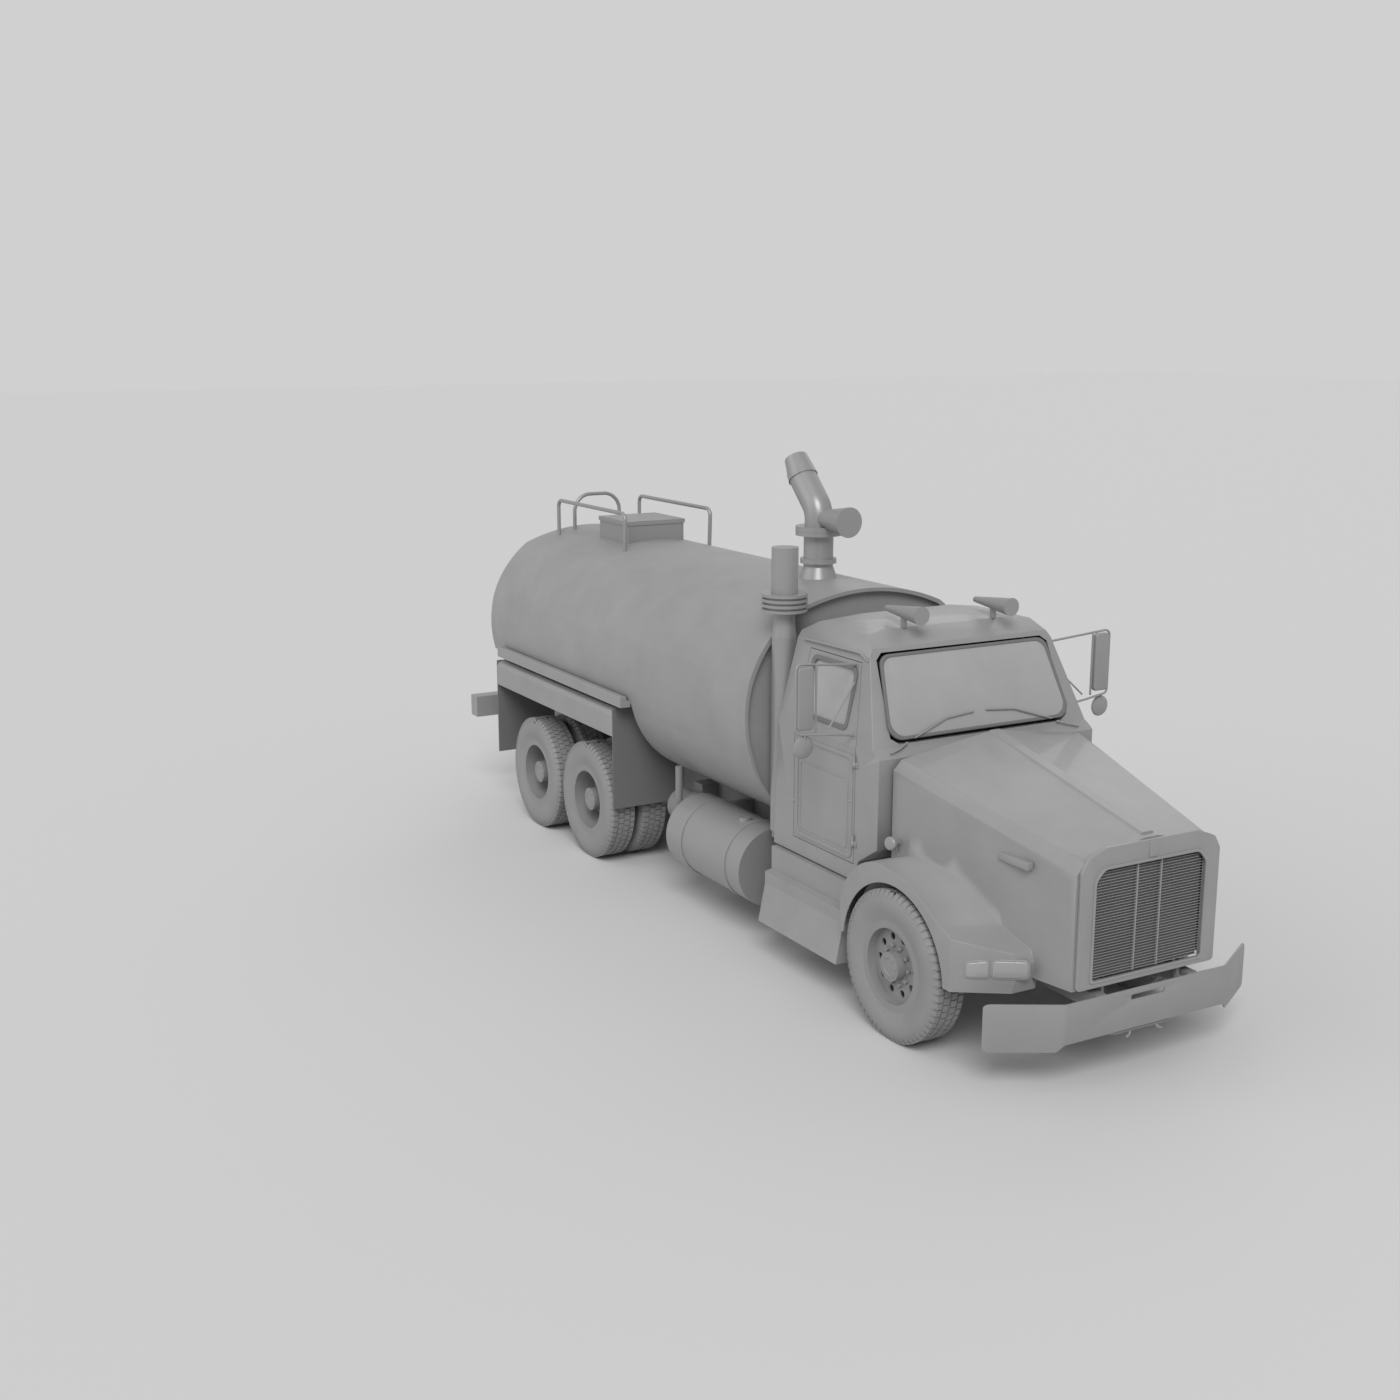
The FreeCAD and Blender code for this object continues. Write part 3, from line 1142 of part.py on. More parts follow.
def check_and_write():
    for thing in doc.Objects:
        if "Invalid" in thing.State or "Error" in thing.State:
            raise ValueError(f"{thing.Name} failed: {thing.State}")
    for thing in NODES:
        if thing.Shape.isNull() or not thing.Shape.isValid():
            raise ValueError(f"{thing.Label} has no valid shape")
    os.makedirs("parts", exist_ok=True)
    for thing in NODES:
        thing.Shape.exportStep(f"parts/{thing.Label}.step")
        box = thing.Shape.BoundBox
        print(f"{thing.Label:20s} solids {len(thing.Shape.Solids):2d}  x {box.XMin:8.1f} {box.XMax:8.1f}  "
              f"y {box.YMin:8.1f} {box.YMax:8.1f}  z {box.ZMin:7.1f} {box.ZMax:7.1f}")


build()
check_and_write()
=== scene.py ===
# %% [markdown]
# # A grey water tanker truck
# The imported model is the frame. This script gives it its finishes, dresses it
# with the rounded panels, tread, nuts, tubes and trim that the photograph
# shows, and sets up a studio with the camera where the picture was taken.

# %% Load the frame
import json
import math
import bpy
from mathutils import Matrix, Vector


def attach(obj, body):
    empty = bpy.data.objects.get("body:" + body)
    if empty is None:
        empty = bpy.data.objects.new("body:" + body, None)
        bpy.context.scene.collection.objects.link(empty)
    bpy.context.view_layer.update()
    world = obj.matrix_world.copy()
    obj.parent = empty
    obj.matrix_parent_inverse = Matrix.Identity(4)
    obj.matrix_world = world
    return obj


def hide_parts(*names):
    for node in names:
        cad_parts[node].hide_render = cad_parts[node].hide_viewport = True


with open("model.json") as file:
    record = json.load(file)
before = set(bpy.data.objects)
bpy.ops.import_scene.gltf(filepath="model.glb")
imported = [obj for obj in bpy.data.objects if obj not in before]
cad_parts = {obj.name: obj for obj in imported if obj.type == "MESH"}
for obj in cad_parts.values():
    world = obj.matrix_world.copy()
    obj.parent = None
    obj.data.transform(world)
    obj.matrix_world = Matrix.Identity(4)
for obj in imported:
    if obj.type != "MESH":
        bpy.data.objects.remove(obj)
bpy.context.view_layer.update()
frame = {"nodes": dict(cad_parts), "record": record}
nodes = frame["nodes"]

# %% [markdown]
# ## Helpers for materials
# Colours are written as sRGB hex values and turned to linear light in one
# place. Shader nodes are added, set and linked by one function.

# %% Colours and shader nodes
MM = 0.001


def linear(hex_colour):
    """The linear RGBA of an sRGB hex colour."""
    channels = [int(hex_colour[i:i + 2], 16) / 255 for i in (1, 3, 5)]
    return [c / 12.92 if c <= 0.04045 else ((c + 0.055) / 1.055) ** 2.4 for c in channels] + [1.0]


def add_node(tree, kind, settings=None, inputs=None):
    """A shader node with its properties set, and its inputs set or linked."""
    made = tree.nodes.new(kind)
    for key, value in (settings or {}).items():
        setattr(made, key, value)
    for key, value in (inputs or {}).items():
        if isinstance(value, bpy.types.NodeSocket):
            tree.links.new(value, made.inputs[key])
        else:
            made.inputs[key].default_value = value
    return made


def finish_named(name, colour, roughness, metallic=0.0, grain=0.0, grain_size=4 * MM, coat=0.0, dust=0.0):
    """A principled material with a fine grain in its surface and a slow change of shade, if asked."""
    material = bpy.data.materials.new(name)
    material.use_nodes = True
    tree = material.node_tree
    shader = tree.nodes["Principled BSDF"]
    shader.inputs["Base Color"].default_value = linear(colour)
    shader.inputs["Roughness"].default_value = roughness
    shader.inputs["Metallic"].default_value = metallic
    shader.inputs["Coat Weight"].default_value = coat
    place = add_node(tree, "ShaderNodeTexCoord")
    if grain:
        noise = add_node(tree, "ShaderNodeTexNoise", inputs={
            "Vector": place.outputs["Object"], "Scale": 1 / grain_size, "Detail": 3.0})
        bump = add_node(tree, "ShaderNodeBump", inputs={
            "Strength": grain, "Distance": grain_size / 4, "Height": noise.outputs["Fac"]})
        tree.links.new(bump.outputs["Normal"], shader.inputs["Normal"])
    if dust:
        cloud = add_node(tree, "ShaderNodeTexNoise", inputs={
            "Vector": place.outputs["Object"], "Scale": 1 / (420 * MM), "Detail": 4.0, "Roughness": 0.6})
        spread = add_node(tree, "ShaderNodeMapRange", inputs={
            "Value": cloud.outputs["Fac"], "From Min": 0.3, "From Max": 0.7,
            "To Min": 1 - dust, "To Max": 1 + dust})
        shade = add_node(tree, "ShaderNodeVectorMath", {"operation": "SCALE"}, {
            0: linear(colour)[:3], "Scale": spread.outputs["Result"]})
        tree.links.new(shade.outputs["Vector"], shader.inputs["Base Color"])
    return material


# %% [markdown]
# ## Finishes
# The truck in the photograph is one soft grey all over, like a clay model in
# satin paint. Each slot keeps its own finish, so rubber, glass and bare
# metal still differ a little in shade and gloss.

# %% Make the finishes
FINISHES = {
    # Satin sheen on hood and cab, with a slow change of shade that keeps broad panels from looking flat.
    "body_paint": finish_named("Satin grey body paint", "#929292", 0.42, grain=0.03, coat=0.15, dust=0.05),
    # A little lighter and duller, so the tank's long barrel takes a soft highlight.
    "tank_paint": finish_named("Eggshell grey tank paint", "#949494", 0.46, grain=0.03, dust=0.06),
    # Rougher, and darker as painted shade, so the frame sinks back under the tank.
    "frame_paint": finish_named("Chassis grey enamel darkened as painted shade", "#868686", 0.55, grain=0.05),
    # Close to the body, with a crisp edge light along the pressed steel.
    "bumper_paint": finish_named("Satin grey bumper enamel", "#909090", 0.42, grain=0.03, dust=0.04),
    # Slightly darker than the body, so the nuts and hand holes read.
    "rim_paint": finish_named("Grey wheel enamel", "#8A8A8A", 0.45, grain=0.05),
    # A faint metal glint along rails and pipes.
    "bright_metal": finish_named("Brushed steel tube", "#9A9A9A", 0.36, metallic=0.3, grain=0.04),
    # A coarse cast skin on the pump and the axles.
    "cast_metal": finish_named("Painted cast iron", "#848484", 0.55, grain=0.2),
    # Matte, with a fine grain that breaks up the sidewall's light.
    "tyre_rubber": finish_named(
        "Grey tyre rubber", "#8C8C8C", 0.62, grain=0.15, grain_size=3 * MM, dust=0.06),
    # A dark line round the panes.
    "black_rubber": finish_named("Dark sealing rubber", "#707070", 0.6, grain=0.1),
    # Smooth, so it mirrors the sky, with a pale base colour as painted reflection, like the pale panes of the
    # photograph.
    "pane": finish_named("Window glass pale as painted reflection", "#A2A2A2", 0.12, coat=0.5, dust=0.05),
    # Glossy, with the ripple of pressed lens flutes.
    "lamp_lens": finish_named("Pressed lamp lens", "#9C9C9C", 0.14, coat=0.5, grain=0.3, grain_size=9 * MM),
}
print("finishes:", len(FINISHES))

# %% [markdown]
# Each CAD piece carries a material slot in the record, and the finish made
# for that slot goes on it.

# %% Put the finishes on the pieces
SLOT_OF = {part["node"]: part["material_slot"] for part in frame["record"]["subparts"]}
for name, piece in nodes.items():
    piece.data.materials.clear()
    piece.data.materials.append(FINISHES[SLOT_OF[name]])
print("pieces painted:", len(nodes))

# %% [markdown]
# ## Helpers for shapes
# Sizes are in millimetres, measured from the middle of the front axle: x runs
# forwards, y to the left and z up from the ground. A panel is an outline
# drawn on a plane and extruded, a round piece is an outline spun about its
# axis, and a tube is a curve with a round bevel.

# %% Places and outlines
AXLE = Vector((3.2, 0.0, 0.0))
AXES = {"X": Vector((1, 0, 0)), "Y": Vector((0, 1, 0)), "Z": Vector((0, 0, 1))}


def at(x, y, z):
    """A point measured in millimetres from the front axle, in the frame's metres."""
    return AXLE + Vector((x, y, z)) * MM


def rounded(corners, steps=5):
    """The points of an outline whose corners (a, b, radius) become arcs."""
    points = []
    for number, corner in enumerate(corners):
        here = Vector(corner[:2])
        radius = corner[2] if len(corner) > 2 else 0
        if not radius:
            points.append(here)
            continue
        inward = (Vector(corners[number - 1][:2]) - here).normalized()
        outward = (Vector(corners[(number + 1) % len(corners)][:2]) - here).normalized()
        half = inward.angle(outward) / 2
        middle = here + (inward + outward).normalized() * radius / math.sin(half)
        first = here + inward * radius / math.tan(half) - middle
        last = here + outward * radius / math.tan(half) - middle
        for step in range(steps + 1):
            points.append(middle + first.lerp(last, step / steps).normalized() * radius)
    return points


def two_sided(right):
    """An outline's right half, from low to high, with its mirror image."""
    return right + [(-corner[0], *corner[1:]) for corner in reversed(right)]


# %% [markdown]
# A flat part is an outline filled with one face and extruded, the way a
# plate is cut and a panel pressed. Its edges are then rounded with a bevel,
# because a real edge always catches a little light.

# %% Slabs and boxes
def deselect():
    bpy.ops.object.select_all(action="DESELECT")


def bevelled(piece, width, steps=3, angle=30):
    """Round a piece's sharp edges."""
    if width:
        bpy.context.view_layer.objects.active = piece
        bevel = piece.modifiers.new("round", "BEVEL")
        bevel.width, bevel.segments, bevel.angle_limit = width * MM, steps, math.radians(angle)
        bpy.ops.object.modifier_apply(modifier=bevel.name)
    return piece


def tidy_mesh(piece):
    """Merge doubles and turn the faces outwards."""
    deselect()
    piece.select_set(True)
    bpy.context.view_layer.objects.active = piece
    bpy.ops.object.mode_set(mode="EDIT")
    bpy.ops.mesh.select_all(action="SELECT")
    bpy.ops.mesh.remove_doubles(threshold=0.00005)
    bpy.ops.mesh.normals_make_consistent(inside=False)
    bpy.ops.object.mode_set(mode="OBJECT")
    return piece


def slab(plane, outline, low, high, soft=0, steps=5):
    """An outline on the XY, XZ or YZ plane, extruded from low to high, its edges softened."""
    points = rounded(outline, steps)
    deselect()
    bpy.ops.mesh.primitive_circle_add(vertices=len(points), fill_type="NGON")
    piece = bpy.context.object
    spots = {"XY": lambda a, b: (a, b, low), "XZ": lambda a, b: (a, low, b), "YZ": lambda a, b: (low, a, b)}
    for vertex, point in zip(piece.data.vertices, points):
        vertex.co = at(*spots[plane](*point))
    normal = {"XY": AXES["Z"], "XZ": AXES["Y"], "YZ": AXES["X"]}[plane]
    bpy.ops.object.mode_set(mode="EDIT")
    bpy.ops.mesh.select_all(action="SELECT")
    bpy.ops.mesh.extrude_region_move(TRANSFORM_OT_translate={"value": normal * (high - low) * MM})
    bpy.ops.object.mode_set(mode="OBJECT")
    return bevelled(tidy_mesh(piece), soft)


def box(xs, ys, zs, soft=0):
    """A box between three pairs of sizes, its edges softened."""
    return slab("XY", [(xs[0], ys[0]), (xs[1], ys[0]), (xs[1], ys[1]), (xs[0], ys[1])], zs[0], zs[1], soft)


# %% [markdown]
# A turned part is half its cross-section, spun round its axis. Pipes are
# bent from straight runs and arcs, so a curve with a round bevel makes them
# and is then turned into a mesh.

# %% Turned parts and tubes


def lathe(profile, foot, axis, steps=40):
    """An outline of (distance from the axis, distance along it), spun about the axis from its foot."""
    deselect()
    bpy.ops.mesh.primitive_circle_add(vertices=len(profile), fill_type="NOTHING")
    piece = bpy.context.object
    for vertex, (radius, along) in zip(piece.data.vertices, profile):
        vertex.co = (radius * MM, 0, along * MM)
    bpy.ops.object.mode_set(mode="EDIT")
    bpy.ops.mesh.select_all(action="SELECT")
    bpy.ops.mesh.spin(steps=steps, angle=math.tau, center=(0, 0, 0), axis=(0, 0, 1))
    bpy.ops.object.mode_set(mode="OBJECT")
    turn = Vector((0, 0, 1)).rotation_difference(Vector(axis)).to_matrix().to_4x4()
    piece.data.transform(Matrix.Translation(at(*foot)) @ turn)
    return tidy_mesh(piece)


def drum(foot, axis, radius, length, soft=2, steps=32):
    """A round bar from its foot along an axis, its rims softened."""
    edge = min(soft, length / 3, radius / 3)
    profile = [(0, 0), (radius - edge, 0), (radius, edge),
               (radius, length - edge), (radius - edge, length), (0, length)]
    return lathe(profile, foot, axis, steps)


def ball_cap(foot, axis, radius, height, steps=24):
    """A shallow dome on a round base."""
    arc = [(radius * math.cos(turn), height * math.sin(turn)) for turn in (0, 0.4, 0.8, 1.2, math.pi / 2)]
    return lathe([(0, 0)] + arc, foot, axis, steps)


def tube(points, radius, bend=40, steps=5, closed=False):
    """A round tube along straight runs joined by arcs."""
    path = [Vector(point) for point in points]
    route = [] if closed else [path[0]]
    rim = range(len(path)) if closed else range(1, len(path) - 1)
    for number in rim:
        here, before, after = path[number], path[number - 1], path[(number + 1) % len(path)]
        inward, outward = (before - here).normalized(), (after - here).normalized()
        half = inward.angle(outward) / 2
        reach = min(bend / math.tan(half), (before - here).length * 0.49, (after - here).length * 0.49)
        radius_here = reach * math.tan(half)
        middle = here + (inward + outward).normalized() * radius_here / math.sin(half)
        first, last = here + inward * reach - middle, here + outward * reach - middle
        for step in range(steps + 1):
            route.append(middle + first.lerp(last, step / steps).normalized() * radius_here)
    route += [] if closed else [path[-1]]
    data = bpy.data.curves.new("tube", "CURVE")
    data.dimensions, data.bevel_depth, data.bevel_resolution = "3D", radius * MM, 3
    data.use_fill_caps = not closed
    line = data.splines.new("POLY")
    line.points.add(len(route) - 1)
    for spot, point in zip(line.points, route):
        spot.co = (*at(*point), 1)
    line.use_cyclic_u = closed
    piece = bpy.data.objects.new("tube", data)
    bpy.context.scene.collection.objects.link(piece)
    deselect()
    piece.select_set(True)
    bpy.context.view_layer.objects.active = piece
    bpy.ops.object.convert(target="MESH")
    return tidy_mesh(piece)


# %% [markdown]
# A hole or a slot is cut with a solid that is then thrown away. A part of
# one side is modelled once, on the left, and mirrored to the right with a
# mesh of its own. A finished piece rides on the body that carries it.

# %% Joining, cutting and handing over
def combine(piece, tool, operation="DIFFERENCE"):
    """Cut a piece by a tool, or keep what they share; the tool goes."""
    bpy.context.view_layer.objects.active = piece
    change = piece.modifiers.new("change", "BOOLEAN")
    change.operation, change.solver, change.object = operation, "EXACT", tool
    bpy.ops.object.modifier_apply(modifier=change.name)
    bpy.data.objects.remove(tool, do_unlink=True)
    return piece


def copied(piece, matrix=None):
    """A copy with a mesh of its own, moved by a matrix."""
    twin = piece.copy()
    twin.data = piece.data.copy()
    bpy.context.scene.collection.objects.link(twin)
    if matrix:
        twin.data.transform(matrix)
        if matrix.determinant() < 0:
            tidy_mesh(twin)
    return twin


ACROSS = Matrix.Diagonal((1, -1, 1, 1))
SIDES = (("right", -1), ("left", 1))


def joined(pieces):
    deselect()
    for piece in pieces:
        piece.select_set(True)
    bpy.context.view_layer.objects.active = pieces[0]
    if len(pieces) > 1:
        bpy.ops.object.join()
    return pieces[0]


def ready(name, slot, body, pieces, replaces=(), smooth=35):
    """Join the parts of a piece, name it, give it its finish and let it ride on its body."""
    piece = joined(pieces)
    piece.name = name
    piece.data.name = name
    piece.data.materials.clear()
    piece.data.materials.append(FINISHES[slot])
    bpy.ops.object.shade_smooth_by_angle(angle=math.radians(smooth))
    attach(piece, body)
    if replaces:
        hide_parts(*replaces)
    print(name, "faces:", len(piece.data.polygons), "rides on", body)
    return piece


def both_sides(name, slot, bodies, made, replaces=(), smooth=35):
    """A piece modelled on the left and its mirror image on the right; replaces gives stems of nodes."""
    left = joined(made)
    right = copied(left, ACROSS)
    for (side, _), piece, body in zip(SIDES, (right, left), bodies):
        ready(f"{name}_{side}", slot, body, [piece], [f"{stem}_{side}" for stem in replaces], smooth)


# %% [markdown]
# ## Wheels
# The tyres are worn all-position highway tyres: a round shoulder, four rows
# of blocks and notched shoulders. The carcass is one spun outline and the
# blocks one short row of boxes, repeated round the tread by a spin that
# copies.

# %% Tyres
TYRE_RADIUS = 552
TREAD_DEPTH = 13
BLOCKS = 60


def make_tyre():
    base = TYRE_RADIUS - TREAD_DEPTH
    beads = [(112, 288), (118, 336), (133, 382), (139, 430), (137, 470), (128, 505), (112, 530), (96, base)]
    section = [(radius, y) for y, radius in beads] + [(radius, -y) for y, radius in reversed(beads)]
    carcass = lathe(section, (0, 0, 0), AXES["Y"], 72)
    rows = [(-108, -66, 0.0), (-54, -8, 0.5), (8, 54, 0.0), (66, 108, 0.5)]
    pitch = math.tau * TYRE_RADIUS / BLOCKS
    blocks = []
    for low, high, shift in rows:
        top = TYRE_RADIUS - (4 if shift else 1)
        block = box((5 - pitch / 2, pitch / 2 - 5), (low, high), (base - 10, top))
        turn = Matrix.Rotation(shift * math.tau / BLOCKS, 4, "Y")
        block.data.transform(Matrix.Translation(AXLE) @ turn @ Matrix.Translation(-AXLE))
        blocks.append(block)
    for out in (-1, 1):
        lug = [(out * 108, base - 4), (out * 104, TYRE_RADIUS - 5), (out * 118, 536),
               (out * 131, 502), (out * 122, 500)]
        blocks.append(slab("YZ", lug, -pitch * 0.3, pitch * 0.3))
    row = joined(blocks)
    row.data.transform(Matrix.Translation(-AXLE))
    deselect()
    row.select_set(True)
    bpy.context.view_layer.objects.active = row
    bpy.ops.object.mode_set(mode="EDIT")
    bpy.ops.mesh.select_all(action="SELECT")
    bpy.ops.mesh.spin(steps=BLOCKS, dupli=True, angle=math.tau, center=(0, 0, 0), axis=(0, 1, 0))
    bpy.ops.object.mode_set(mode="OBJECT")
    carcass.data.transform(Matrix.Translation(-AXLE))
    return joined([carcass, row])


master_tyre = make_tyre()
print("tyre triangles:", sum(len(face.vertices) - 2 for face in master_tyre.data.polygons))

# %% [markdown]
# Ten copies of the one tyre: two on the steering axle, and a pair side by
# side on each end of the two driven axles. Each copy is put in its place in
# its mesh, so it turns about its own axle.

# %% Put the tyres on
TRACK_HALF = 1066
DUALS = (1044, 720)
REAR_AXLES = (("mid", -4925), ("rear", -6085))
for side, out in SIDES:
    own = copied(master_tyre, Matrix.Translation(at(0, out * TRACK_HALF, TYRE_RADIUS)))
    ready(f"tread_front_{side}", "tyre_rubber", f"wheel_front_{side}", [own], [f"tyre_front_{side}"])
    for place, x in REAR_AXLES:
        pair = [copied(master_tyre, Matrix.Translation(at(x, out * y, TYRE_RADIUS))) for y in DUALS]
        ready(f"treads_{place}_{side}", "tyre_rubber", f"wheels_{place}_{side}", pair,
              [f"tyres_{place}_{side}"])
bpy.data.objects.remove(master_tyre, do_unlink=True)

# %% [markdown]
# Ten wheel nuts stand on the disc round each hub, and eight bolts hold the
# cap that keeps the grease in. A nut is a six-sided turned bar, copied round
# a circle.

# %% Wheel nuts and hub caps
NUT_CIRCLE = 143
NUTS = 10
NUT_RADIUS, NUT_HEIGHT = 17, 30
CAP_BOLTS = 8
CAP_RADIUS = 88
FRONT_DISC, FRONT_CAP = 1112, 1186
REAR_DISC, REAR_CAP = 956, 1128


def nut_ring(x, y, out, count, circle, radius, height, sides=6):
    """Nuts on a circle round a wheel's axis, standing outwards."""
    ring = []
    for number in range(count):
        turn = math.tau * number / count
        foot = (x + circle * math.cos(turn), y, TYRE_RADIUS + circle * math.sin(turn))
        ring.append(drum(foot, AXES["Y"] * out, radius, height, 2, sides))
    return ring


def hub_gear(name, body, x, out, disc, cap):
    """The nuts on a wheel's disc and the rounded cap on its hub."""
    nuts = nut_ring(x, out * disc, out, NUTS, NUT_CIRCLE, NUT_RADIUS, NUT_HEIGHT)
    dish = [(0, 0), (CAP_RADIUS, 0), (CAP_RADIUS, 6), (CAP_RADIUS - 12, 9),
            (CAP_RADIUS - 26, 10), (CAP_RADIUS - 34, 4), (0, 4)]
    lid = lathe(dish, (x, out * cap, TYRE_RADIUS), AXES["Y"] * out)
    bolts = nut_ring(x, out * (cap + 6), out, CAP_BOLTS, CAP_RADIUS - 10, 7, 8)
    ready(name, "rim_paint", body, nuts + [lid] + bolts)


for side, out in SIDES:
    hub_gear(f"nuts_front_{side}", f"wheel_front_{side}", 0, out, FRONT_DISC, FRONT_CAP)
    for place, x in REAR_AXLES:
        hub_gear(f"nuts_{place}_{side}", f"wheels_{place}_{side}", x, out, REAR_DISC, REAR_CAP)
print("wheels dressed")

# %% [markdown]
# ## Hood and wings
# The hood is one tilting shell of moulded plastic. A merged copy of the
# frame's hood loses the outer front corner of each wing, where the lamps sit
# on a slant, and its crests and shoulders are rounded with a bevel.

# %% Hood shell
LAMP_INNER = Vector((975, 730))
LAMP_TURN = math.radians(34)
WING_INNER, WING_FACE = 640, 1150
ARCH_MIDDLE, ARCH_CLEAR = 552, 668
CREST_BEVEL = 44
lamp_along = Vector((-math.sin(LAMP_TURN), math.cos(LAMP_TURN)))
lamp_out = Vector((math.cos(LAMP_TURN), math.sin(LAMP_TURN)))


def soften(piece, wanted, width, steps=4, angle=20):
    """Round the sharp edges whose two ends, in millimetres, satisfy a test."""
    data = piece.data
    normals = {}
    for face in data.polygons:
        for key in face.edge_keys:
            normals.setdefault(key, []).append(face.normal)
    weights = data.attributes.new("bevel_weight_edge", "FLOAT", "EDGE")
    count = 0
    for edge in data.edges:
        ends = [(data.vertices[i].co - AXLE) / MM for i in edge.vertices]
        faces = normals.get(edge.key, [])
        sharp = len(faces) == 2 and faces[0].angle(faces[1], 0) > math.radians(angle)
        share = wanted(*ends) if sharp else 0
        weights.data[edge.index].value = share
        count += share > 0
    bpy.context.view_layer.objects.active = piece
    bevel = piece.modifiers.new("crest", "BEVEL")
    bevel.limit_method, bevel.width, bevel.segments = "WEIGHT", width * MM, steps
    bpy.ops.object.modifier_apply(modifier=bevel.name)
    print(piece.name, "edges rounded:", count)
    return piece


def wing_crest(a, b):
    """The share of the bevel that an edge of the hood gets."""
    both = (a, b)
    if all(abs(p.y) > WING_FACE or p.x > 640 and abs(p.y) > WING_INNER for p in both):
        away = all(math.hypot(p.x, p.z - ARCH_MIDDLE) > ARCH_CLEAR for p in both)
        return 1.0 if away and all(p.z > 640 and p.x > -425 for p in both) else 0.0
    long_run = all(abs(p.y) > 540 and p.z > 1480 for p in both) and abs(a.x - b.x) > 300
    return 0.7 if long_run else 0.0


hood = tidy_mesh(copied(nodes["hood"]))
for side in (-1, 1):
    first = LAMP_INNER - lamp_along * 20
    last = LAMP_INNER + lamp_along * 640
    corner = [(p.x, side * p.y) for p in (first, first + lamp_out * 400, last + lamp_out * 400, last)]
    combine(hood, slab("XY", corner, 560, 1400))
tidy_mesh(hood)
soften(hood, wing_crest, CREST_BEVEL)
ready("hood_shell", "body_paint", "hood", [hood], ["hood"], 28)

# %% [markdown]
# A wide lamp and a narrow turn signal sit side by side on the slanting front
# of each wing. Each is a pressed lens with rounded corners in a raised frame,
# made flat on one plane and then turned to the slant.

# %% Headlamps
LENS_BOTTOM, LENS_TOP = 712, 828
LENSES = ((28, 265, 26), (290, 440, 22))


def on_slant(piece):
    """Move a piece made on the YZ plane to the slanting front of the left wing."""
    turn = Matrix.Rotation(LAMP_TURN, 4, "Z")
    foot = Matrix.Translation(at(LAMP_INNER.x, LAMP_INNER.y, 0))
    piece.data.transform(foot @ turn @ Matrix.Translation(-AXLE))
    return piece


def lens_shape(low, high, radius, grow, depth, soft):
    bottom, top = LENS_BOTTOM - grow, LENS_TOP + grow
    corners = [(low - grow, bottom, radius + grow), (high + grow, bottom, radius + grow),
               (high + grow, top - (low > 200) * 18, radius + grow), (low - grow, top, radius + grow)]
    return on_slant(slab("YZ", corners, -30, depth, soft))


lamps = joined([lens_shape(low, high, radius, 0, 14, 7) for low, high, radius in LENSES])
bezels = joined([lens_shape(low, high, radius, 13, 7, 4) for low, high, radius in LENSES])
ready("lamp_lenses", "lamp_lens", "hood", [copied(lamps, ACROSS), lamps], ["headlamps"])
ready("lamp_bezels", "body_paint", "hood", [copied(bezels, ACROSS), bezels])

# %% [markdown]
# A bare plate stands on each side of the hood, and a small round lamp looks
# sideways from a bent stalk behind each wing.

# %% Side plates and side lamps
LAMP_CONE = [(0, 0), (26, 0), (30, 30), (50, 60), (50, 84), (42, 92), (0, 96)]
trim = []
for side in (-1, 1):
    trim.append(box((600, 900), tuple(sorted((side * 700, side * 752))), (1440, 1492), 5))
    foot = (-330, side * 905, 1330)
    trim.append(lathe(LAMP_CONE, foot, (0.25, side, 0.1), 24))
    trim.append(tube([(-300, side * 850, 1330), (-330, side * 900, 1325), (-340, side * 905, 1250)], 8, 20))
print("hood trim pieces:", len(trim))
ready("hood_side_trim", "body_paint", "hood", trim)

# %% [markdown]
# ## Grille
# A thick band with rounded corners frames a panel of fine slats. The
# band is an outline with a rounded opening, its edges softened; one slat is
# copied up the panel.

# %% Grille surround and slats
outer = two_sided([(612, 692, 30), (612, 1500, 40), (560, 1590, 60), (400, 1650, 80)])
opening = two_sided([(490, 738, 24), (490, 1430, 70), (420, 1506, 70)])
surround = combine(slab("YZ", outer, 1246, 1272, 0, 6), slab("YZ", opening, 1200, 1300, 0, 6))
bevelled(surround, 9, 3, 40)
lip = combine(slab("YZ", two_sided([(506, 724, 30), (506, 1440, 76), (428, 1522, 76)]), 1262, 1279, 0, 6),
              slab("YZ", two_sided([(484, 744, 24), (484, 1426, 70), (416, 1500, 70)]), 1200, 1300, 0, 6))
bevelled(lip, 5, 2, 40)
clasp = box((1262, 1282), (-38, 38), (1528, 1640), 8)
ready("grille_band", "body_paint", "hood", [surround, lip, clasp], ["grille_surround"])

SLATS = 38
SLAT_LOW, SLAT_HIGH = 752, 1490
slats = []
for number in range(SLATS):
    height = SLAT_LOW + number * (SLAT_HIGH - SLAT_LOW) / (SLATS - 1)
    reach = 478 if height < 1440 else 440
    blade = [(1222, -8), (1226, -9), (1250, 3), (1248, 6), (1224, -2)]
    slats.append(slab("XZ", [(x, height + drop) for x, drop in blade], -reach, reach))
for y in (-105, 105):
    slats.append(box((1218, 1252), (y - 5, y + 5), (744, 1498), 2))
slats.append(box((1216, 1222), (-486, 486), (740, 1500)))
slats.append(tube([(1236, -470, 716), (1236, 470, 716)], 12))
slats.append(ball_cap((1252, -400, 716), AXES["X"], 26, 20))
ready("grille_panel", "body_paint", "hood", slats, ["grille_slats"])

# %% [markdown]
# ## Bumper
# A pressed steel channel swept back at both ends. Its plan is extruded, and
# what it shares with its front outline is kept, so the middle stands higher
# off the ground than the ends.

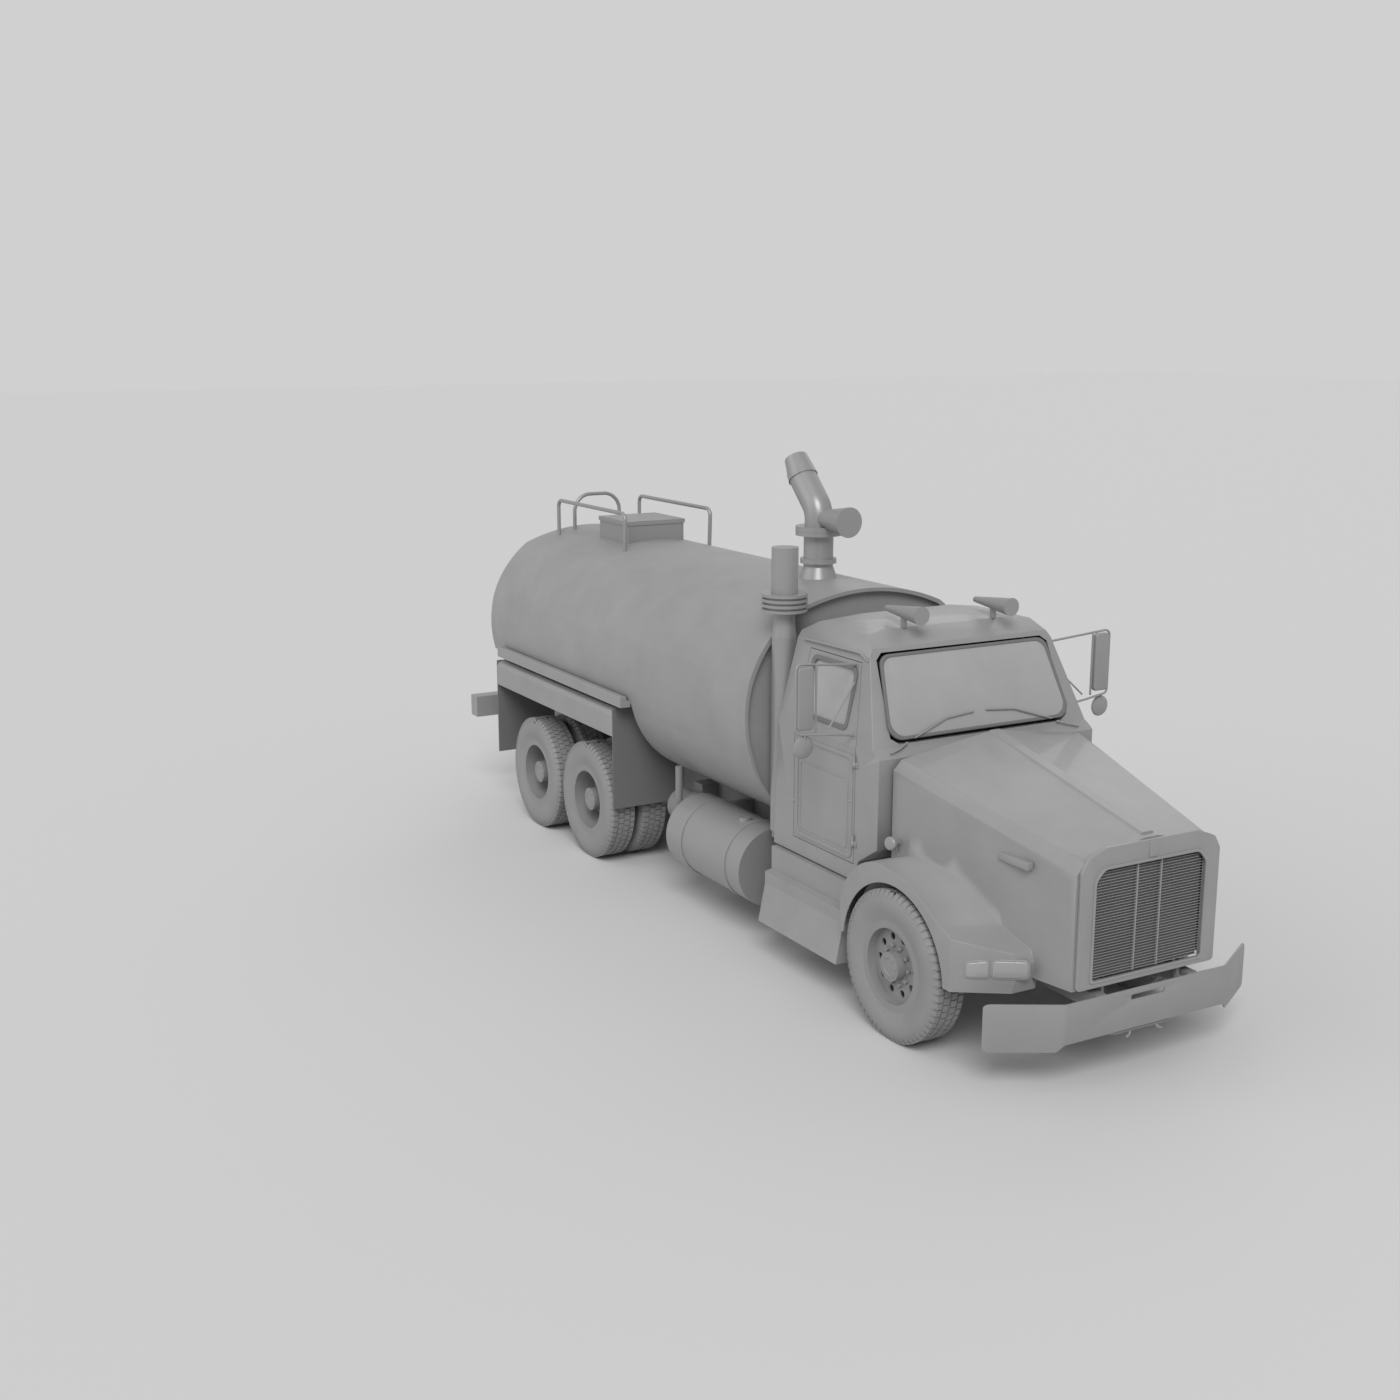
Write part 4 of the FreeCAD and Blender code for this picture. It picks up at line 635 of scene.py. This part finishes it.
# %% Bumper
BUMPER_THICK = 10
plan = [(1030, -1184), (1299, -715, 60), (1299, 715, 60), (1030, 1184),
        (1030 - 12, 1184 - 7), (1299 - BUMPER_THICK, 711, 56), (1299 - BUMPER_THICK, -711, 56),
        (1030 - 12, 7 - 1184)]
bumper = slab("XY", plan, 290, 660, 0, 8)
face = [(-1183, 306, 40), (-760, 306, 30), (-715, 356, 30), (715, 356, 30),
        (760, 306, 30), (1183, 306, 40), (1183, 638, 46), (-1183, 638, 46)]
combine(bumper, slab("YZ", face, 900, 1400, 0, 6), "INTERSECT")
combine(bumper, slab("YZ", [(-150, 560, 12), (150, 560, 12), (150, 596, 12), (-150, 596, 12)], 1200, 1400))
bevelled(tidy_mesh(bumper), 3, 2, 40)
tow_bar = [tube([(1180, -320, 330), (1262, -260, 330), (1262, 260, 330), (1180, 320, 330)], 11, 60),
           tube([(1262, -110, 334), (1280, -130, 304), (1280, -160, 292)], 9, 12),
           tube([(1262, 110, 334), (1280, 130, 304), (1280, 160, 292)], 9, 12)]
ready("bumper_face", "bumper_paint", "chassis", [bumper] + tow_bar, ["front_bumper"])

# %% [markdown]
# ## Cab
# The cab is a welded shell with soft corners. A merged copy gets its outer
# edges rounded; a rubber seal runs round the windscreen, and a drip rail over
# each door.

# %% Cab shell


def cab_edge(a, b):
    """The share of the bevel that an edge of the cab gets: roof, corners and front."""
    both = (a, b)
    if any(-1568 < p.x < -727 and 1050 < p.z < 2560 and abs(p.y) > 870 for p in both):
        return 0.0
    roof = all(p.z > 2600 for p in both)
    corner = all(abs(p.y) > 845 and p.z > 940 for p in both) and abs(a.z - b.z) > 120
    return 1.0 if roof else 0.6 if corner else 0.0


cab = tidy_mesh(copied(nodes["cab_shell"]))
soften(cab, cab_edge, 26, 3, 25)
ready("cab_body", "body_paint", "chassis", [cab], ["cab_shell"], 28)

screen_foot = Vector((-524, 0, 1990))
screen_head = Vector((-812, 0, 2622))
SCREEN_TURN = math.atan2(screen_foot.x - screen_head.x, screen_head.z - screen_foot.z)
SCREEN_HIGH = (screen_head - screen_foot).length


def on_screen(piece):
    """Lean a piece made on the YZ plane back with the windscreen."""
    lean = Matrix.Rotation(-SCREEN_TURN, 4, "Y")
    piece.data.transform(Matrix.Translation(at(*screen_foot)) @ lean @ Matrix.Translation(-AXLE))
    return piece


def screen_outline(inset):
    return two_sided([(850 - inset, 30 + inset, 110), (775 - inset, SCREEN_HIGH - 24 - inset, 90)])


seal = combine(slab("YZ", screen_outline(0), -6, 16, 0, 7), slab("YZ", screen_outline(26), -40, 40, 0, 7))
ready("windscreen_seal", "black_rubber", "chassis", [on_screen(bevelled(seal, 6, 2, 40))])
pane = on_screen(slab("YZ", screen_outline(18), -10, 9, 2, 7))
ready("windscreen_pane", "pane", "chassis", [pane], ["windscreen"])

drips = []
for side in (-1, 1):
    drips.append(tube([(-1640, side * 866, 2600), (-900, side * 862, 2610), (-800, side * 858, 2560)], 9, 60))
    drips.append(tube([(-520, side * 700, 2000), (-480, side * 790, 1975), (-470, side * 880, 1950)], 8, 60))
    wiper = [(-508, side * 640, 2030), (-560, side * 320, 2130), (-572, side * 60, 2150)]
    drips.append(tube(wiper, 6, 60))
ready("cab_seams", "body_paint", "chassis", drips)

# %% [markdown]
# ## Doors
# Each door leaf keeps its frame shape and gets a raised ring on its lower
# panel, a pull handle, two lock knobs, and tinted glass that leans in with
# the cab's side above the belt.

# %% Doors and door glass
BELT = 1950
LEAN = math.atan2(150, 700)


def leaned(piece):
    """Lean a piece made on the XZ plane in with the left side of the cab, above the belt."""
    foot = Matrix.Translation(at(0, 1000, BELT))
    piece.data.transform(foot @ Matrix.Rotation(LEAN, 4, "X") @ Matrix.Translation(-AXLE))
    return piece


ring_outer = [(-1532, 1094, 60), (-764, 1094, 60), (-764, 1888, 50), (-1532, 1888, 50)]
ring_inner = [(-1498, 1128, 44), (-798, 1128, 44), (-798, 1854, 36), (-1498, 1854, 36)]
ring = bevelled(combine(slab("XZ", ring_outer, 998, 1007), slab("XZ", ring_inner, 900, 1100)), 3, 2, 40)
step_outer = [(-1470, 1156, 40), (-826, 1156, 40), (-826, 1700, 36), (-1470, 1700, 36)]
step_inner = [(-1458, 1168, 34), (-838, 1168, 34), (-838, 1688, 30), (-1458, 1688, 30)]
step_ring = bevelled(combine(slab("XZ", step_outer, 998, 1004), slab("XZ", step_inner, 900, 1100)), 2, 2, 40)
handle = tube([(-1490, 1000, 1800), (-1490, 1028, 1800), (-1370, 1028, 1800), (-1370, 1000, 1800)], 9, 16)
cup = slab("XZ", [(-1510, 1770, 20), (-1350, 1770, 20), (-1350, 1830, 20), (-1510, 1830, 20)], 998, 1006, 3)
knobs = [ball_cap((x, 1000, z), AXES["Y"], 16, 14) for x, z in ((-1545, 1360), (-790, 1539))]
DOORS = ("door_right", "door_left")
both_sides("door_dressing", "body_paint", DOORS, [ring, step_ring, handle, cup] + knobs)

glass_corners = [(-1456, 118, 36), (-914, 118, 36), (-914, 545, 60), (-1456, 545, 40)]
glass = leaned(slab("XZ", glass_corners, -22, -10, 2, 6))
both_sides("door_glass", "pane", DOORS, [glass])
frame_outer = [(-1490, 92, 50), (-888, 92, 50), (-888, 572, 76), (-1490, 572, 50)]
frame_inner = [(-1452, 126, 36), (-918, 126, 36), (-918, 540, 60), (-1452, 540, 40)]
window = combine(slab("XZ", frame_outer, -8, 7, 0, 6), slab("XZ", frame_inner, -40, 40, 0, 6))
both_sides("window_frame", "black_rubber", DOORS, [leaned(bevelled(window, 4, 2, 40))])

# %% [markdown]
# ## Mirrors
# Each mirror hangs in a loop of bent tube that bolts to its door, with a tall
# flat head and a small round one below.

# %% Mirrors
loop = [(-930, 868, 2520), (-816, 1470, 2597), (-816, 1470, 2085), (-761, 1229, 2071), (-790, 985, 2030)]
parts = [tube(loop, 9, 40), tube([(-816, 1298, 2580), (-816, 1298, 2082)], 8)]
parts.append(tube([(-900, 905, 2400), (-800, 1200, 2100)], 7))
head = slab("YZ", [(1322, 2110, 30), (1462, 2110, 30), (1462, 2572, 30), (1322, 2572, 30)], -842, -800, 12)
dish = lathe([(0, 0), (50, 4), (78, 16), (84, 26), (80, 30), (0, 30)], (-790, 1400, 1985), (-1, 0, 0), 32)
parts += [head, dish, tube([(-800, 1400, 2000), (-800, 1400, 2085)], 7)]
parts += [drum((-930, 850, 2520), (0, 1, 0), 20, 22), drum((-790, 960, 2030), (0, 1, 0), 20, 28)]
both_sides("mirror_set", "body_paint", DOORS, parts, ["mirror"])

# %% [markdown]
# ## The studio
# A pale floor that runs on without a horizon, under an even sky. One large
# soft light stands behind the camera's shoulder, a weaker one fills the side
# and a last one lifts the edges from behind.

# %% Floor and sky
FLOOR_HALF = 120.0
deselect()
bpy.ops.mesh.primitive_plane_add(size=2 * FLOOR_HALF, location=(0, 0, 0))
floor = bpy.context.object
floor.name = "studio_floor"
floor_paint = finish_named("Pale studio floor", "#D2D2D2", 0.9)
floor_paint.node_tree.nodes["Principled BSDF"].inputs["Specular IOR Level"].default_value = 0.05
floor.data.materials.append(floor_paint)

world = bpy.data.worlds.new("Even studio sky")
world.use_nodes = True
sky_tree = world.node_tree
glow = sky_tree.nodes["Background"]
glow.inputs["Color"].default_value = linear("#EDEDED")
glow.inputs["Strength"].default_value = 0.55
seen = add_node(sky_tree, "ShaderNodeBackground", inputs={"Color": linear("#D0D0D0"), "Strength": 1.0})
rays = add_node(sky_tree, "ShaderNodeLightPath")
split = add_node(sky_tree, "ShaderNodeMixShader", inputs={
    0: rays.outputs["Is Camera Ray"], 1: glow.outputs["Background"], 2: seen.outputs["Background"]})
sky_tree.links.new(split.outputs["Shader"], sky_tree.nodes["World Output"].inputs["Surface"])
bpy.context.scene.world = world

# %% [markdown]
# The lights come from directions, not from places, so the floor is lit as
# evenly far off as under the truck, and each is broad enough for soft shadows.

# %% Lights


def soft_sun(name, toward, strength, spread):
    """A broad, even light that falls from a direction."""
    bpy.ops.object.light_add(type="SUN", location=Vector(toward).normalized() * 20)
    light = bpy.context.object
    light.name = name
    light.data.energy = strength
    light.data.angle = math.radians(spread)
    light.rotation_euler = Vector(toward).to_track_quat("Z", "Y").to_euler()


soft_sun("key_light", (0.75, -0.5, 0.8), 1.7, 30)
soft_sun("fill_light", (-0.35, -0.9, 0.5), 0.5, 50)
soft_sun("back_light", (-0.6, 0.7, 0.6), 0.35, 40)

# %% [markdown]
# ## The camera
# Its place, direction and lens were worked out from the lines of the
# photograph, which is square.

# %% Camera
CAMERA_PLACE = Vector((12.3719, -7.8930, 4.9668))
CAMERA_LOOK = Vector((-0.85018, 0.48006, -0.21619))
bpy.ops.object.camera_add(location=CAMERA_PLACE)
camera = bpy.context.object
camera.name = "photo_camera"
camera.rotation_euler = CAMERA_LOOK.to_track_quat("-Z", "Y").to_euler()
camera.data.sensor_width = 36.0
camera.data.lens = 43.877
camera.data.clip_end = 500.0
bpy.context.scene.camera = camera
bpy.context.scene.view_settings.view_transform = "Standard"
